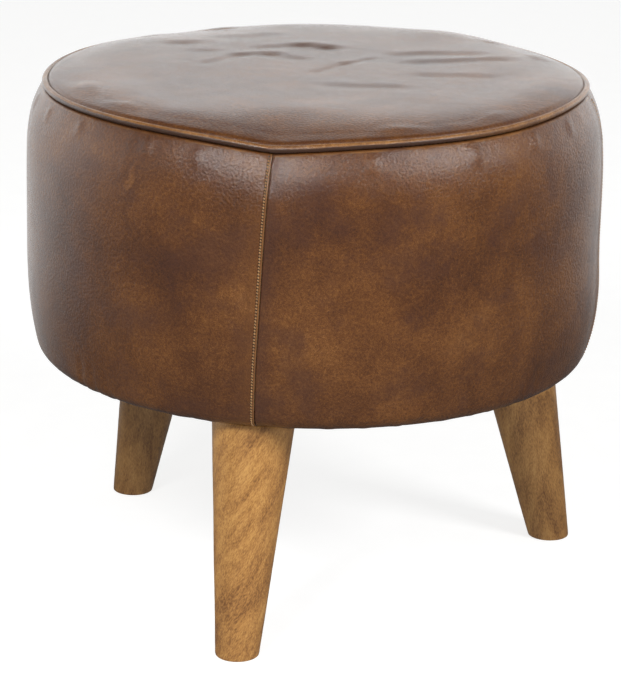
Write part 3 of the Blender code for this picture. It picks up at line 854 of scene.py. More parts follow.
# Creases on the seat: start and end in mm, depth as a share of CREASE_DEPTH, and half width in mm.
CREASE_DEPTH = 0.74 * MM
SEAT_CREASES = (
    ((-131, 53), (-125, 56), 1.0, 7),
    ((-105, 28), (-101, 30), 0.7, 7),
    ((-86, -8), (-70, 26), 0.8, 6),
    ((-70, 26), (-48, 36), 0.9, 7),
    ((-48, 36), (-24, 24), 1.0, 7),
    ((-57, 62), (-33, 79), 0.9, 7),
    ((-33, 79), (-12, 78), 1.1, 7),
    ((-14, 74), (-12, 75), 1.3, 7),
    ((5, -12), (18, 22), 0.8, 5),
    ((18, 22), (32, 45), 0.8, 5),
    ((30, -59), (74, -55), 0.8, 8),
    ((54, 71), (106, 91), 1.0, 8),
    ((73, 42), (130, 79), 1.2, 8),
    ((89, -4), (130, 11), 0.8, 8),
    ((-98, 92), (-72, 112), 0.6, 9),
)

# Wrinkles on the side: azimuth and height of the middle, half length, lean from level in degrees, depth.
SIDE_WRINKLES = (
    (-24.2, 383 * MM, 16 * MM, 82.0, -0.30 * MM),
    (2.6, 293 * MM, 9 * MM, -38.0, 0.55 * MM),
    (1.9, 287 * MM, 8 * MM, -30.0, 0.45 * MM),
    (3.0, 281 * MM, 7 * MM, -48.0, 0.35 * MM),
    (-38.3, 199 * MM, 11 * MM, 78.0, 0.9 * MM),
    (-34.5, 198 * MM, 12 * MM, 84.0, 0.8 * MM),
    (-30.0, 197 * MM, 9 * MM, 96.0, 0.6 * MM),
    (-10.0, 196 * MM, 8 * MM, 82.0, 0.5 * MM),
    (33.0, 196 * MM, 9 * MM, 94.0, 0.5 * MM),
    (61.0, 199 * MM, 12 * MM, 86.0, 0.7 * MM),
    (64.5, 201 * MM, 10 * MM, 92.0, 0.6 * MM),
    (150.0, 198 * MM, 10 * MM, 84.0, 0.6 * MM),
    (214.0, 200 * MM, 12 * MM, 95.0, 0.7 * MM),
)


def trough(x, y, start, end, width):
    """1 along a line and 0 beyond its width, with soft ends."""
    line = Vector(end) - Vector(start)
    length = max(line.length, 1e-9)
    along = ((x - start[0]) * line.x + (y - start[1]) * line.y) / length
    beyond = along - np.clip(along, 0.0, length)
    across = ((x - start[0]) * -line.y + (y - start[1]) * line.x) / length
    return bell(across, width) * bell(beyond, 1.6 * width)


def creases(x, y):
    """Depth of the seat's creases below its crown."""
    depth = np.zeros(np.shape(x))
    bend = 1.8 * MM * np.sin(x / (17 * MM)) + 1.0 * MM * np.sin(x / (7 * MM) + 1.0)
    for start, end, share, width in SEAT_CREASES:
        first = (start[0] * MM, start[1] * MM)
        last = (end[0] * MM, end[1] * MM)
        groove = trough(x, y + bend, first, last, width * MM)
        ridge = trough(x, y + bend - 2.0 * width * MM, first, last, 1.2 * width * MM)
        depth += share * CREASE_DEPTH * (groove - 0.35 * ridge)
    return depth


def wrinkles(azimuth, height):
    depth = np.zeros(np.broadcast(azimuth, height).shape)
    for middle, level, half, lean, deep in SIDE_WRINKLES:
        x = np.radians(away(azimuth, middle)) * DRUM_RADIUS
        y = height - level
        slope = Vector((math.cos(math.radians(lean)), math.sin(math.radians(lean)))) * half
        depth += deep * trough(x, y, tuple(-slope), tuple(slope), 2.2 * MM)
    return depth


def gathers(across, along):
    """Small pleats where the leather is drawn in under the base, at degrees round and metres down."""
    reach = band(along, *(SIDE_LENGTH - back * MM for back in (66, 45, 18, 10)))
    turn = np.radians(across)
    wave = np.sin(52 * turn + 1.9 * np.sin(7 * turn) + 1.1 * np.sin(13 * turn + 1.0))
    return reach * (0.55 * MM * np.maximum(wave, -0.2) ** 2 * np.sign(wave) + 0.15 * MM)


# ---------------------------------------------------------------- cover


def panel_columns():
    """Distances across a panel from its first edge, closer together beside both seams."""
    first = np.array([0.0, 0.25, 0.6, 1.0, 1.5, 2.1, 2.9, 4.0, 5.5, 7.5, 10.0]) * MM
    stitched = [0.0, 0.25, 0.6, 1.0, 1.4, 1.75, 2.0, 2.2, 2.4, 2.7, 3.2, 4.0, 5.5, 7.5, 9.0, 11.0]
    last = np.array(stitched) * MM
    width = math.radians(QUARTER) * DRUM_RADIUS - SEAM_GAP
    middle = np.linspace(first[-1], width - last[-1], 118)
    return np.concatenate([first[:-1], middle, (width - last)[::-1][1:]]), width


def panel_rows():
    """Lengths down a panel, closer together at the shoulder and the bottom corner."""
    shoulder = np.arange(0.0, 24.0, 1.2) * MM
    corner = np.arange(SIDE_LENGTH - 78 * MM, SIDE_LENGTH - 42 * MM, 1.4 * MM)
    side = np.linspace(shoulder[-1], corner[0], 62)[1:-1]
    hem = np.linspace(corner[-1], SIDE_LENGTH, 12)[1:]
    return np.concatenate([shoulder, side, corner, hem])


# The side's fuller place, low on the right.
BULGE = 2.8 * MM
BULGE_AZIMUTH = 104.0
BULGE_LEVEL = 232 * MM


def side_surface(along, across_degrees, swelling):
    """Points and outward normals of the side, at lengths down and degrees round from the first seam."""
    radius, height = outline_at(along)
    azimuth = SEAM_AZIMUTH + across_degrees[None, :] + SEAM_SLANT * (height[:, None] - SEAM_LEVEL)
    base = polar(radius[:, None], azimuth, height[:, None])
    tangent_radius = np.gradient(radius, along)[:, None]
    tangent_height = np.gradient(height, along)[:, None]
    a = np.radians(azimuth)
    outward = -tangent_height
    normals = np.stack([outward * np.sin(a), -outward * np.cos(a), tangent_radius + 0.0 * a], axis=-1)
    normals /= np.linalg.norm(normals, axis=-1, keepdims=True)
    rows = along / SIDE_LENGTH * (SHEET_ROWS - 1)
    columns = (across_degrees / 360.0 * SHEET_COLUMNS) % SHEET_COLUMNS
    out = between(swelling, rows, columns, wrap=True)[..., 0]
    bulge = bell(away(azimuth, BULGE_AZIMUTH), 34.0) * bell(height - BULGE_LEVEL, 42 * MM)[:, None]
    out = out + BULGE * bulge
    out = out - wrinkles(azimuth, height[:, None])
    out = out + gathers(across_degrees[None, :], along[:, None])
    lift = rim_rise(azimuth) * smooth_step(SHOULDER_TOP - 95 * MM, SHOULDER_TOP - 2 * MM, height)[:, None]
    base[..., 2] += lift
    return base, normals, out


def seam_profile(first, last):
    """How the leather rises and falls beside a seam, at distances from the plain and from the sewn edge."""
    tucked = -0.6 * MM * np.exp(-first / (0.80 * MM)) - 0.3 * MM * np.exp(-last / (0.30 * MM))
    pulled = -0.7 * MM * bell(first, 13 * MM) - 0.7 * MM * bell(last, 13 * MM)
    allowance = 0.50 * MM * smooth_step(10.0 * MM, 7.5 * MM, last)
    sewn = -0.40 * MM * bell(last - STITCH_OFFSET, 0.55 * MM)
    return tucked + pulled + allowance + sewn


def stitch_line(number, swelling):
    """Where the stitch holes of a seam lie, and the leather's normals there."""
    count = int((SIDE_LENGTH - SEAM_END - FIRST_STITCH) / STITCH_PITCH)
    along = FIRST_STITCH + STITCH_PITCH * np.arange(count + 1)
    across = np.array([number * QUARTER - math.degrees((STITCH_OFFSET + SEAM_GAP / 2) / DRUM_RADIUS)])
    base, normals, out = side_surface(along, across, swelling)
    depth = out + seam_profile(np.full(out.shape, 1.0), np.full(out.shape, STITCH_OFFSET))
    return (base + normals * depth[..., None])[:, 0], normals[:, 0]


def side_panel(number, swelling, look):
    """The panel between a seam and the next, sewn down at its far edge."""
    across, width = panel_columns()
    along = panel_rows()
    degrees = number * QUARTER + np.degrees((across + SEAM_GAP / 2) / DRUM_RADIUS)
    base, normals, out = side_surface(along, degrees, swelling)
    profile = seam_profile(across, width - across)[None, :]
    calm = band(along, 0.0, 5 * MM, SIDE_LENGTH - 48 * MM, SIDE_LENGTH - 30 * MM)
    grid = base + normals * (out + profile * calm[:, None])[..., None]
    level = np.zeros(out.shape)
    attributes = {"first": level + across, "last": level + width - across, "along": level + along[:, None]}
    obj = shell(f"side_leather_{number + 1}", grid, LEATHER, attributes)
    return put(obj, "drum", look, "cover_leather", f"side_panel_{number + 1}")


ROLL_START = 0.9885  # the share of the seat sheet that is flat, before its rim rolls down
ROLL_RADIUS = TOP_RADIUS - 2.0 * MM


def seat_steps():
    fine = 1.0 - np.array([0.0, 0.004, 0.009, 0.015, 0.022])
    inner = np.linspace(-0.97, 0.97, 208)
    return np.concatenate([-fine, inner, fine[::-1]])


def seat_surface(disc, swelling, steps):
    """The seat leather's outer face, rolled down into the seam at its rim."""
    share = np.linalg.norm(disc, axis=-1)
    direction = disc / np.maximum(share, 1e-9)[..., None]
    roll = np.clip((share - ROLL_START) / (1.0 - ROLL_START), 0.0, 1.0) * math.pi / 2
    rolled = ROLL_RADIUS + 2.2 * MM * np.sin(roll)
    radius = np.where(share < ROLL_START, share / ROLL_START * ROLL_RADIUS, rolled)
    x, y = np.moveaxis(direction * radius[..., None], -1, 0)
    azimuth = azimuth_of(x, y)
    inside = smooth_step(TOP_RADIUS - 2 * MM, TOP_RADIUS - 30 * MM, radius)
    height = crown_height(np.minimum(radius, TOP_RADIUS)) - 2.4 * MM * (1.0 - np.cos(roll))
    height += rim_rise(azimuth) * rim_share(radius)
    rows = (steps + 1.0) / 2.0 * TOP_CELLS
    height += between(swelling, rows, rows)[..., 0] * inside
    height -= creases(x, y) * inside
    return np.stack([x, y, height], axis=-1)


def seat_panel(swelling, look):
    steps = seat_steps()
    grid = seat_surface(disc_grid(steps), swelling, steps)
    obj = shell("seat_leather", grid[::-1], LEATHER)
    return put(obj, "drum", look, "cover_leather", "top_panel")


# Where the piping's strip laps and where it is ridged: the ends of each band, in degrees of azimuth.
PIPE_LAP = (5.6, 6.0, 15.2, 29.2)
PIPE_RIDGES = (29.5, 30.5, 41.0, 42.0)
RIDGE_PITCH = 1.9 * MM
PIPE_MOUTH = math.radians(70.0)
PIPE_FACING = math.radians(215.0)
PIPE_WALL = 0.9 * MM


def piping(look):
    """A strip of leather round a cord: a ring with a C section, open towards the seam, with painted shade
    below.
    """
    azimuth = np.arange(1080) / 3.0
    middle = polar(PIPE_RING, azimuth, PIPE_LEVEL)
    wide = PIPE_RADIUS * (1.0 + 0.035 * lumps(middle, 14 * MM, 21))
    wide += 0.30 * MM * band(azimuth, *PIPE_LAP)
    ridges = np.cos(np.radians(azimuth) * PIPE_RING / RIDGE_PITCH * math.tau)
    wide += 0.16 * MM * band(azimuth, *PIPE_RIDGES) * ridges
    turn = np.linspace(PIPE_FACING - PIPE_MOUTH / 2, PIPE_FACING + PIPE_MOUTH / 2 - math.tau, 22)
    level = PIPE_LEVEL + rim_rise(azimuth)
    # The next two lines set the painted shade on the lower half: full at the front, half elsewhere, higher on
    # the left.
    soil_and_shade = 0.55 + 0.45 * smooth_step(58.0, 44.0, np.abs(away(azimuth, -4.0)))
    edge = 0.36 + 0.16 * smooth_step(4.0, -8.0, away(azimuth, 0.0)) + 0.12 * lumps(middle, 9 * MM, 22)
    rows, under = [], []
    for angle, depth in [(a, 0.0) for a in turn] + [(a, PIPE_WALL) for a in turn[::-1]]:
        ring = wide - depth
        rows.append(polar(PIPE_RING + ring * math.cos(angle), azimuth, level + ring * math.sin(angle)))
        under.append(soil_and_shade * smooth_step(edge + 0.15, edge - 0.15, math.sin(angle)))
    obj = hoop("piping_leather", rows, {"under": np.stack(under)})
    return put(obj, "drum", look, "piping_leather", "piping_cover")


def piping_cord(look):
    azimuth = np.arange(720) / 2.0
    turn = np.linspace(0.0, math.tau, 12, endpoint=False)
    level = PIPE_LEVEL + rim_rise(azimuth)
    rows = []
    for angle in turn:
        strand = 1.1 * MM + 0.10 * MM * np.cos(3 * (angle + np.radians(azimuth) * 60.0))
        rows.append(polar(PIPE_RING + strand * math.cos(angle), azimuth, level + strand * math.sin(angle)))
    return put(hoop("piping_core", rows), "drum", look, "cotton_cord", "piping_cord")


def stitches(number, swelling, look):
    """Each stitch rises from its hole, lies on the leather and goes down the next hole, a little askew."""
    holes, normals = stitch_line(number, swelling)
    share = np.linspace(0.0, 1.0, 9)
    lie = np.array([-0.55, -0.05, 0.24, 0.33, 0.35, 0.33, 0.24, -0.05, -0.55]) * MM
    thick = THREAD_RADIUS * np.array([0.7, 0.9, 1.0, 1.05, 1.08, 1.05, 1.0, 0.9, 0.7])
    sewn = []
    rng = np.random.default_rng(40 + number)
    for upper, lower, normal in zip(holes, holes[1:], normals):
        beside = np.cross(lower - upper, normal)
        beside /= np.linalg.norm(beside)
        skew = beside * rng.uniform(0.22, 0.42) * MM
        start = upper + (lower - upper) * STITCH_INSET + skew
        end = lower - (lower - upper) * STITCH_INSET - skew
        line = start + (end - start) * share[:, None] + normal * lie[:, None]
        normals_along = np.tile(normal, (len(share), 1))
        sewn.append(tube(line, normals_along, thick * rng.uniform(0.94, 1.05), STITCH_SIDES))
    obj = tubes(f"seam_stitches_{number + 1}", sewn, 60.0)
    return put(obj, "drum", look, "thread", f"seam_thread_{number + 1}")


# ---------------------------------------------------------------- stuffing


def foam_ring(look):
    """The sheet of foam round the wall, butted at the back, with soft lumpy faces."""
    low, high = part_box("side_foam")
    inner = widest("drum_wall") + 0.5 * MM
    heights = np.linspace(high.z - 0.3 * MM, low.z + 0.3 * MM, 40)
    azimuth = FOAM_BUTT + np.linspace(0.0, FOAM_SWEEP, 260)
    outer = side_radius(heights) - LEATHER - 1.5 * MM
    from_edge = np.minimum(heights - low.z, high.z - heights)
    soft = smooth_step(-1 * MM, 6 * MM, from_edge)
    outer = inner + (outer - inner) * (0.45 + 0.55 * soft)
    lumpy = 0.5 * MM * (lumps(polar(outer[:, None], azimuth, heights[:, None]), 20 * MM, 11) - 1.0)
    grid = polar(outer[:, None] + lumpy, azimuth, heights[:, None])
    wall = polar(inner, azimuth, heights[:, None])
    return put(closed_body("side_foam_sheet", grid, wall), "drum", look, "foam", "side_foam")


def pad(name, top, bottom, edge, look, slot, node, seed, roughness):
    """A round pad with a soft rim, sunk with the rim of the seat. Top and edge give its height and radius."""
    azimuth = np.arange(180) * 2.0
    rows = []
    for share in np.linspace(0.02, 1.0, 26):
        radius = edge(1.0) * share**0.8
        rows.append(polar(radius, azimuth, top(radius, azimuth)))
    for share in np.linspace(0.0, 1.0, 12)[1:-1]:
        upper = top(edge(1.0), azimuth)
        rows.append(polar(edge(share), azimuth, upper + (bottom - upper) * share))
    for share in np.linspace(1.0, 0.02, 10):
        rows.append(polar(edge(1.0) * share - 0.6 * MM * share, azimuth, bottom))
    grid = np.stack(rows)
    rough = roughness * (lumps(grid, 12 * MM, seed) - 1.0) * 0.5
    grid[:26, :, 2] += rough[:26]
    radius = np.linalg.norm(grid[..., :2], axis=-1)
    level = np.clip((grid[..., 2] - bottom) / (grid[0, 0, 2] - bottom), 0.0, 1.0)
    grid[..., 2] += rim_rise(azimuth) * rim_share(radius) * level
    return put(turned(name, list(grid)), "drum", look, slot, node)


def seat_stuffing(foam, wadding):
    low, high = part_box("seat_foam")
    radius = widest("seat_foam")

    def foam_edge(share):
        return radius - 0.8 * MM - 4.0 * MM * (share - 0.62) ** 2

    def foam_top(at, azimuth):
        drop = 9.0 * MM * smooth_step(radius - 26 * MM, radius + 4 * MM, at)
        return np.full(len(azimuth), high.z - 0.2 * MM - drop)

    pad("seat_foam_pad", foam_top, low.z + 0.1 * MM, foam_edge, foam, "foam", "seat_foam", 31, 0.8 * MM)
    low_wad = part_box("seat_wadding")[0]
    wad_radius = widest("seat_wadding")

    def wad_edge(share):
        return wad_radius - 0.6 * MM - 1.5 * MM * (share - 0.5) ** 2

    def wad_top(at, azimuth):
        places = polar(at, azimuth, 0.0)
        dent = creases(places[:, 0], places[:, 1])
        return np.maximum(crown_height(at) - LEATHER - 1.2 * MM - dent, low_wad.z + 0.8 * MM)

    bottom = low_wad.z + 0.1 * MM
    pad("seat_wadding_layer", wad_top, bottom, wad_edge, wadding, "wadding", "seat_wadding", 33, 1.0 * MM)


# ---------------------------------------------------------------- underside


def dust_cover(look):
    """Black cloth over the base, slack between its staples, with a hole for each bolt."""
    low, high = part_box("dust_cover")
    radius = widest("dust_cover")
    disc = disc_grid(np.linspace(-1.0, 1.0, 121)) * radius
    x, y = disc[..., 0], disc[..., 1]
    share = np.hypot(x, y) / radius
    azimuth = azimuth_of(x, y)
    scallop = 0.5 * MM * np.cos(np.radians(azimuth) * STAPLES) * smooth_step(0.80, 0.97, share)
    sag = 1.5 * MM * (1.0 - share**2) + scallop
    ripple = 0.35 * MM * np.sin(azimuth / 3.1 + 30 * share) * share * smooth_step(1.0, 0.8, share)
    for number in LEGS:
        plate_low, plate_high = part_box(f"leg_plate_{number}")
        middle = (plate_low + plate_high) / 2
        clear = smooth_step(36 * MM, 62 * MM, np.maximum(np.abs(x - middle.x), np.abs(y - middle.y)))
        sag *= clear
        ripple *= clear
    grid = np.stack([x, y, low.z - np.maximum(sag + ripple, 0.0) + 0.02 * MM], axis=-1)
    obj = shell("dust_cloth", grid, -(high.z - low.z) * 0.9)
    holes = []
    for number in LEGS:
        bm = bmesh.new()
        size = {"radius1": BOLT_HOLE, "radius2": BOLT_HOLE, "depth": 60 * MM}
        bmesh.ops.create_cone(bm, cap_ends=True, segments=24, matrix=leg_frame(number), **size)
        holes.append(linked("bolt_hole", mesh_of("bolt_hole", bm)))
    obj.data = cut_by(obj, holes)
    obj.modifiers.clear()
    return put(obj, "drum", look, "dust_cloth", "dust_cover")


def staples(look):
    """Staples round the dust cover's rim, each a flat crown between two rounded shoulders."""
    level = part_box("dust_cover")[0].z
    ring = widest("dust_cover") - 4.5 * MM
    rng = np.random.default_rng(12)
    wires = []
    across = np.array([-5.0, -4.8, -4.2, 4.2, 4.8, 5.0]) * MM
    drop = np.array([0.25, -0.30, -0.62, -0.62, -0.30, 0.25]) * MM
    for n in range(STAPLES):
        azimuth = (n + 0.5) * 360.0 / STAPLES + rng.uniform(-1.2, 1.2)
        a = math.radians(azimuth)
        middle = polar(ring + rng.uniform(-1.0, 1.0) * MM, azimuth, level + 0.25 * MM)
        askew = a + rng.uniform(-0.16, 0.16)
        sideways = np.array([math.cos(askew), math.sin(askew), 0.0])
        line = middle + sideways * across[:, None] + np.array([0.0, 0.0, 1.0]) * drop[:, None]
        down = np.tile([0.0, 0.0, -1.0], (len(across), 1))
        wires.append(tube(line, down, STAPLE_WIRE, STAPLE_SIDES))
    return put(tubes("cover_staples", wires, 50.0), "drum", look, "screw_steel")


# ---------------------------------------------------------------- legs and fasteners


def leg_frame(number):
    """The leg's frame, from its joint: origin at its top face, +Z up its axis, +Y towards the drum's axis."""
    joint = JOINTS[f"leg_{number}_unscrew"]
    up = -Vector(joint["axis"]).normalized()
    anchor = Vector(joint["pos_m"])
    sideways = Vector((-anchor.y, anchor.x, 0.0)).normalized()
    inward = up.cross(sideways)
    made = Matrix((sideways, inward, up)).transposed().to_4x4()
    made.translation = anchor
    return made


def leg(number, look):
    """A turned tapered leg, sawn level at the floor, with worn edges, tool marks and a bored top."""
    at = leg_frame(number)
    turn, ring = unit_ring(72)
    axis = np.array([0.0, 0.0, -1.0])
    tilt = at.to_3x3()[2][1]
    upright = at.to_3x3()[2][2]
    to_floor = at.translation.z / upright
    taper = (LEG_TOP_RADIUS - FOOT_RADIUS) / to_floor
    lean = np.sin(turn) * tilt
    floor = (at.translation.z + lean * LEG_TOP_RADIUS) / (upright + lean * taper)

    def cone(down):
        return ring * (LEG_TOP_RADIUS - taper * down)[:, None] + axis * down[:, None]

    rows = [ring * BORE_RADIUS * 0.5 + axis * BORE_DEPTH, ring * BORE_RADIUS + axis * BORE_DEPTH]
    rows += [ring * BORE_RADIUS + axis * 1.0 * MM, ring * (BORE_RADIUS + 0.8 * MM)]
    rows += [ring * 14 * MM, ring * 24 * MM]
    for angle in np.linspace(0.0, math.pi / 2, 6):
        radius = LEG_TOP_RADIUS - LEG_TOP_ROUND * (1.0 - math.sin(angle))
        rows.append(ring * radius + axis * LEG_TOP_ROUND * (1.0 - math.cos(angle)))
    for share in np.linspace(0.0, 1.0, 48)[1:]:
        rows.append(cone(LEG_TOP_ROUND + (floor - 1.2 * FOOT_ROUND - LEG_TOP_ROUND) * share))
    sole = cone(floor)
    centre = sole.mean(axis=0)
    inner = centre + (sole - centre) * (1.0 - FOOT_ROUND / FOOT_RADIUS)
    rows.append(0.30 * rows[-1] + 0.52 * sole + 0.18 * inner)
    rows.append(0.06 * rows[-2] + 0.48 * sole + 0.46 * inner)
    rows += [inner, centre + (inner - centre) * 0.5]
    grid = np.stack(rows)
    body = slice(12, -4)
    marks = 0.16 * MM * lumps(grid[body] * (1.0, 1.0, 0.35) + number, 13 * MM, 50 + number)
    marks += 0.03 * MM * np.sin(grid[body][..., 2] / (0.9 * MM))
    grid[body] += np.broadcast_to(ring, grid[body].shape) * marks[..., None]
    obj = turned(f"turned_wood_leg_{number}", list(grid), sharp=50.0)
    obj.matrix_world = at
    return put(obj, f"turned_leg_{number}", look, "leg_wood", f"leg_{number}")


def threaded_rows(top, bottom, outer, depth, pitch, columns):
    """Rings down a stud whose radius follows a thread of this pitch."""
    turn, ring = unit_ring(columns)
    rows = []
    rings_a_turn = 6.0
    for height in np.linspace(top, bottom, int((top - bottom) / (pitch / rings_a_turn))):
        phase = (height / pitch - turn / math.tau) % 1.0
        groove = 1.0 - np.abs(2.0 * phase - 1.0)
        ends = min(1.0, (top - height) / pitch, (height - bottom) / pitch)
        radius = outer - depth * (1.0 - groove * ends)
        radius = np.minimum(radius, radius[0] + depth)
        rows.append(ring * radius[:, None] + np.array([0.0, 0.0, height]))
    return rows, ring


def hanger_bolt(number, look):
    """A stud with machine thread above the leg's top face and coarse wood thread below it."""
    upper, ring = threaded_rows(BOLT_ABOVE - 0.8 * MM, 1.5 * MM, BOLT_RADIUS, 0.62 * MM, 1.25 * MM, 20)
    lower = threaded_rows(-1.5 * MM, -BOLT_BELOW + 6 * MM, BOLT_RADIUS - 0.1 * MM, 1.0 * MM, 3.0 * MM, 20)[0]
    core = BOLT_RADIUS - 1.1 * MM
    rows = [ring * (core - 0.6 * MM) + (0.0, 0.0, BOLT_ABOVE), *upper]
    rows += [*lower, ring * core * 0.8 + (0.0, 0.0, -BOLT_BELOW + 3 * MM)]
    rows.append(ring * 0.4 * MM + (0.0, 0.0, -BOLT_BELOW))
    obj = turned(f"threaded_stud_{number}", rows, sharp=30.0)
    obj.matrix_world = leg_frame(number)
    return put(obj, f"bolt_{number}", look, "bolt_steel", f"hanger_bolt_{number}")


def screw_mesh(name, length, head, shank):
    """A countersunk wood screw with a cross recess, pointing down its own -Z from its flat head."""
    cone = head - shank
    thread, ring = threaded_rows(-cone - 0.3 * MM, 3 * shank - length, shank, 0.28 * shank, 0.9 * shank, 14)
    rows = [ring * head * 0.5 + (0.0, 0.0, 0.0), ring * (head - 0.15 * MM) + (0.0, 0.0, 0.0)]
    rows += [ring * head + (0.0, 0.0, -0.15 * MM), ring * shank * 0.85 + (0.0, 0.0, -cone), *thread]
    rows.append(ring * 0.12 * MM + (0.0, 0.0, -length))
    blank = turned(name, rows, sharp=30.0)
    arm = Matrix.Diagonal((1.25 * head, 0.26 * head, 0.9 * head, 1.0))
    bm = bmesh.new()
    bmesh.ops.create_cube(bm, size=1.0, matrix=arm)
    bmesh.ops.create_cube(bm, size=1.0, matrix=Matrix.Rotation(math.pi / 2, 4, "Z") @ arm)
    for vertex in bm.verts:
        if vertex.co.z < 0:
            vertex.co.xy *= 0.55
    made = cut_by(blank, [linked("recess", mesh_of("recess", bm))], use_self=True)
    bpy.data.objects.remove(blank)
    return made


def placed_screw(node, name, mesh, look, turn):
    """A screw in place of a CAD one, with its head where the CAD screw's wide end is."""
    points = [vertex.co for vertex in frame["nodes"][node].data.vertices]
    low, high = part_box(node)
    middle = (low + high) / 2
    wide_at_top = max(points, key=lambda p: (p.xy - middle.xy).length).z > middle.z
    at = Matrix.Translation((middle.x, middle.y, high.z if wide_at_top else low.z))
    if not wide_at_top:
        at = at @ Matrix.Rotation(math.pi, 4, "X")
    obj = linked(name, mesh.copy())
    obj.matrix_world = at @ Matrix.Rotation(turn, 4, "Z")
    return put(obj, "drum", look, "screw_steel", node)


def screws(look):
    rng = np.random.default_rng(77)
    long = screw_mesh("long_screw", 42 * MM, 4.0 * MM, 2.0 * MM)
    short = screw_mesh("short_screw", 15 * MM, 3.6 * MM, 1.8 * MM)
    for n in POSTS:
        placed_screw(f"post_screw_top_{n}", f"long_screw_top_{n}", long, look, rng.uniform(0, math.tau))
        placed_screw(f"post_screw_base_{n}", f"long_screw_base_{n}", long, look, rng.uniform(0, math.tau))
    for number in LEGS:
        for n in PLATE_SCREWS:
            node = f"plate_screw_{number}_{n}"
            placed_screw(node, f"short_screw_{number}_{n}", short, look, rng.uniform(0, math.tau))
    bpy.data.meshes.remove(long)
    bpy.data.meshes.remove(short)


def finish_node(node, look):
    """Gives a carried-over CAD node its material."""
    for slot in frame["nodes"][node].material_slots:
        slot.material = look


# ---------------------------------------------------------------- studio

CAMERA_AZIMUTH = 13.91
CAMERA_DISTANCE = 2.2675
CAMERA_HEIGHT = 0.8988
CAMERA_PITCH = 17.60
CAMERA_ROLL = 1.156
CAMERA_LENS = 149.56

LAMP_DISTANCE = 2.2
LAMPS_AIM_AT = 0.25  # height

# Strengths: fill and wall light matt surfaces, dim and bright are mirrored, glow is what the camera sees.
ROOM_TURN = 14.0  # degrees from opposite the camera to the middle of the bright wall
ROOM_FILL = 0.34
ROOM_WALL = 0.50
ROOM_DIM = 0.02
ROOM_BRIGHT = 1.55
FLOOR_PALE = 0.36  # the floor's own grey
FLOOR_GLOW = 0.81
FLOOR_FILL = 0.68
FLOOR_DIM = 0.10
FLOOR_BRIGHT = 1.05


def camera():
    """A long lens, a little above the seat."""
    data = bpy.data.cameras.new("camera")
    data.lens = CAMERA_LENS
    data.sensor_width = 36.0
    data.clip_start = 0.1
    obj = linked("camera", data)
    spin = Matrix.Rotation(math.radians(CAMERA_AZIMUTH), 4, "Z")
    tip = Matrix.Rotation(math.radians(90.0 - CAMERA_PITCH), 4, "X")
    roll = Matrix.Rotation(math.radians(CAMERA_ROLL), 4, "Z")
    place = Matrix.Translation(polar(CAMERA_DISTANCE, CAMERA_AZIMUTH, CAMERA_HEIGHT))
    obj.matrix_world = place @ spin @ tip @ roll
    bpy.context.scene.camera = obj


def softbox(name, azimuth, elevation, width, height, power):
    """A rectangular lamp that faces the drum, at an azimuth from the camera's own."""
    data = bpy.data.lights.new(name, "AREA")
    data.shape = "RECTANGLE"
    data.size = width
    data.size_y = height
    data.energy = power
    obj = linked(name, data)
    flat = LAMP_DISTANCE * math.cos(math.radians(elevation))
    rise = LAMP_DISTANCE * math.sin(math.radians(elevation))
    away_from_drum = Vector(polar(flat, CAMERA_AZIMUTH + azimuth, rise))
    obj.location = Vector((0.0, 0.0, LAMPS_AIM_AT)) + away_from_drum
    obj.rotation_euler = (-away_from_drum).to_track_quat("-Z", "Y").to_euler()


def by_ray(look, camera, diffuse, glossy):
    """A strength for each kind of ray: seen by the camera, lighting a matt surface, or mirrored."""
    rays = look.add("ShaderNodeLightPath").outputs
    strength = glossy
    for kind, value in (("Is Diffuse Ray", diffuse), ("Is Camera Ray", camera)):
        inputs = {0: rays[kind], 2: strength, 3: value}
        strength = look.add("ShaderNodeMix", inputs, data_type="FLOAT").outputs[0]
    return strength


def depth_behind(look, place):
    """How far a place lies towards the bright wall behind the stool."""
    behind = polar(-1.0, CAMERA_AZIMUTH + ROOM_TURN, 0.0)
    return look.vector("DOT_PRODUCT", place, tuple(behind.tolist()))


def room():
    """White to the camera. In reflections, a bright wall behind the stool and a dim room elsewhere."""
    world = bpy.data.worlds.new("room")
    bpy.context.scene.world = world
    look = Look("room", world)
    way = look.places["Generated"]
    height = look.axes(way)[2]
    wall = look.times(look.span(depth_behind(look, way), -0.35, 0.35), look.span(height, 0.52, 0.38))
    fill = look.span(height, 0.9, 0.3, 0.35 * ROOM_FILL, ROOM_FILL)
    matt = look.span(wall, 0.0, 1.0, fill, ROOM_WALL)
    mirrored = look.span(wall, 0.0, 1.0, ROOM_DIM, ROOM_BRIGHT)
    back = look.nodes["Background"]
    look.feed(back.inputs["Color"], (1.0, 1.0, 1.0))
    look.feed(back.inputs["Strength"], by_ray(look, 1.0, matt, mirrored))


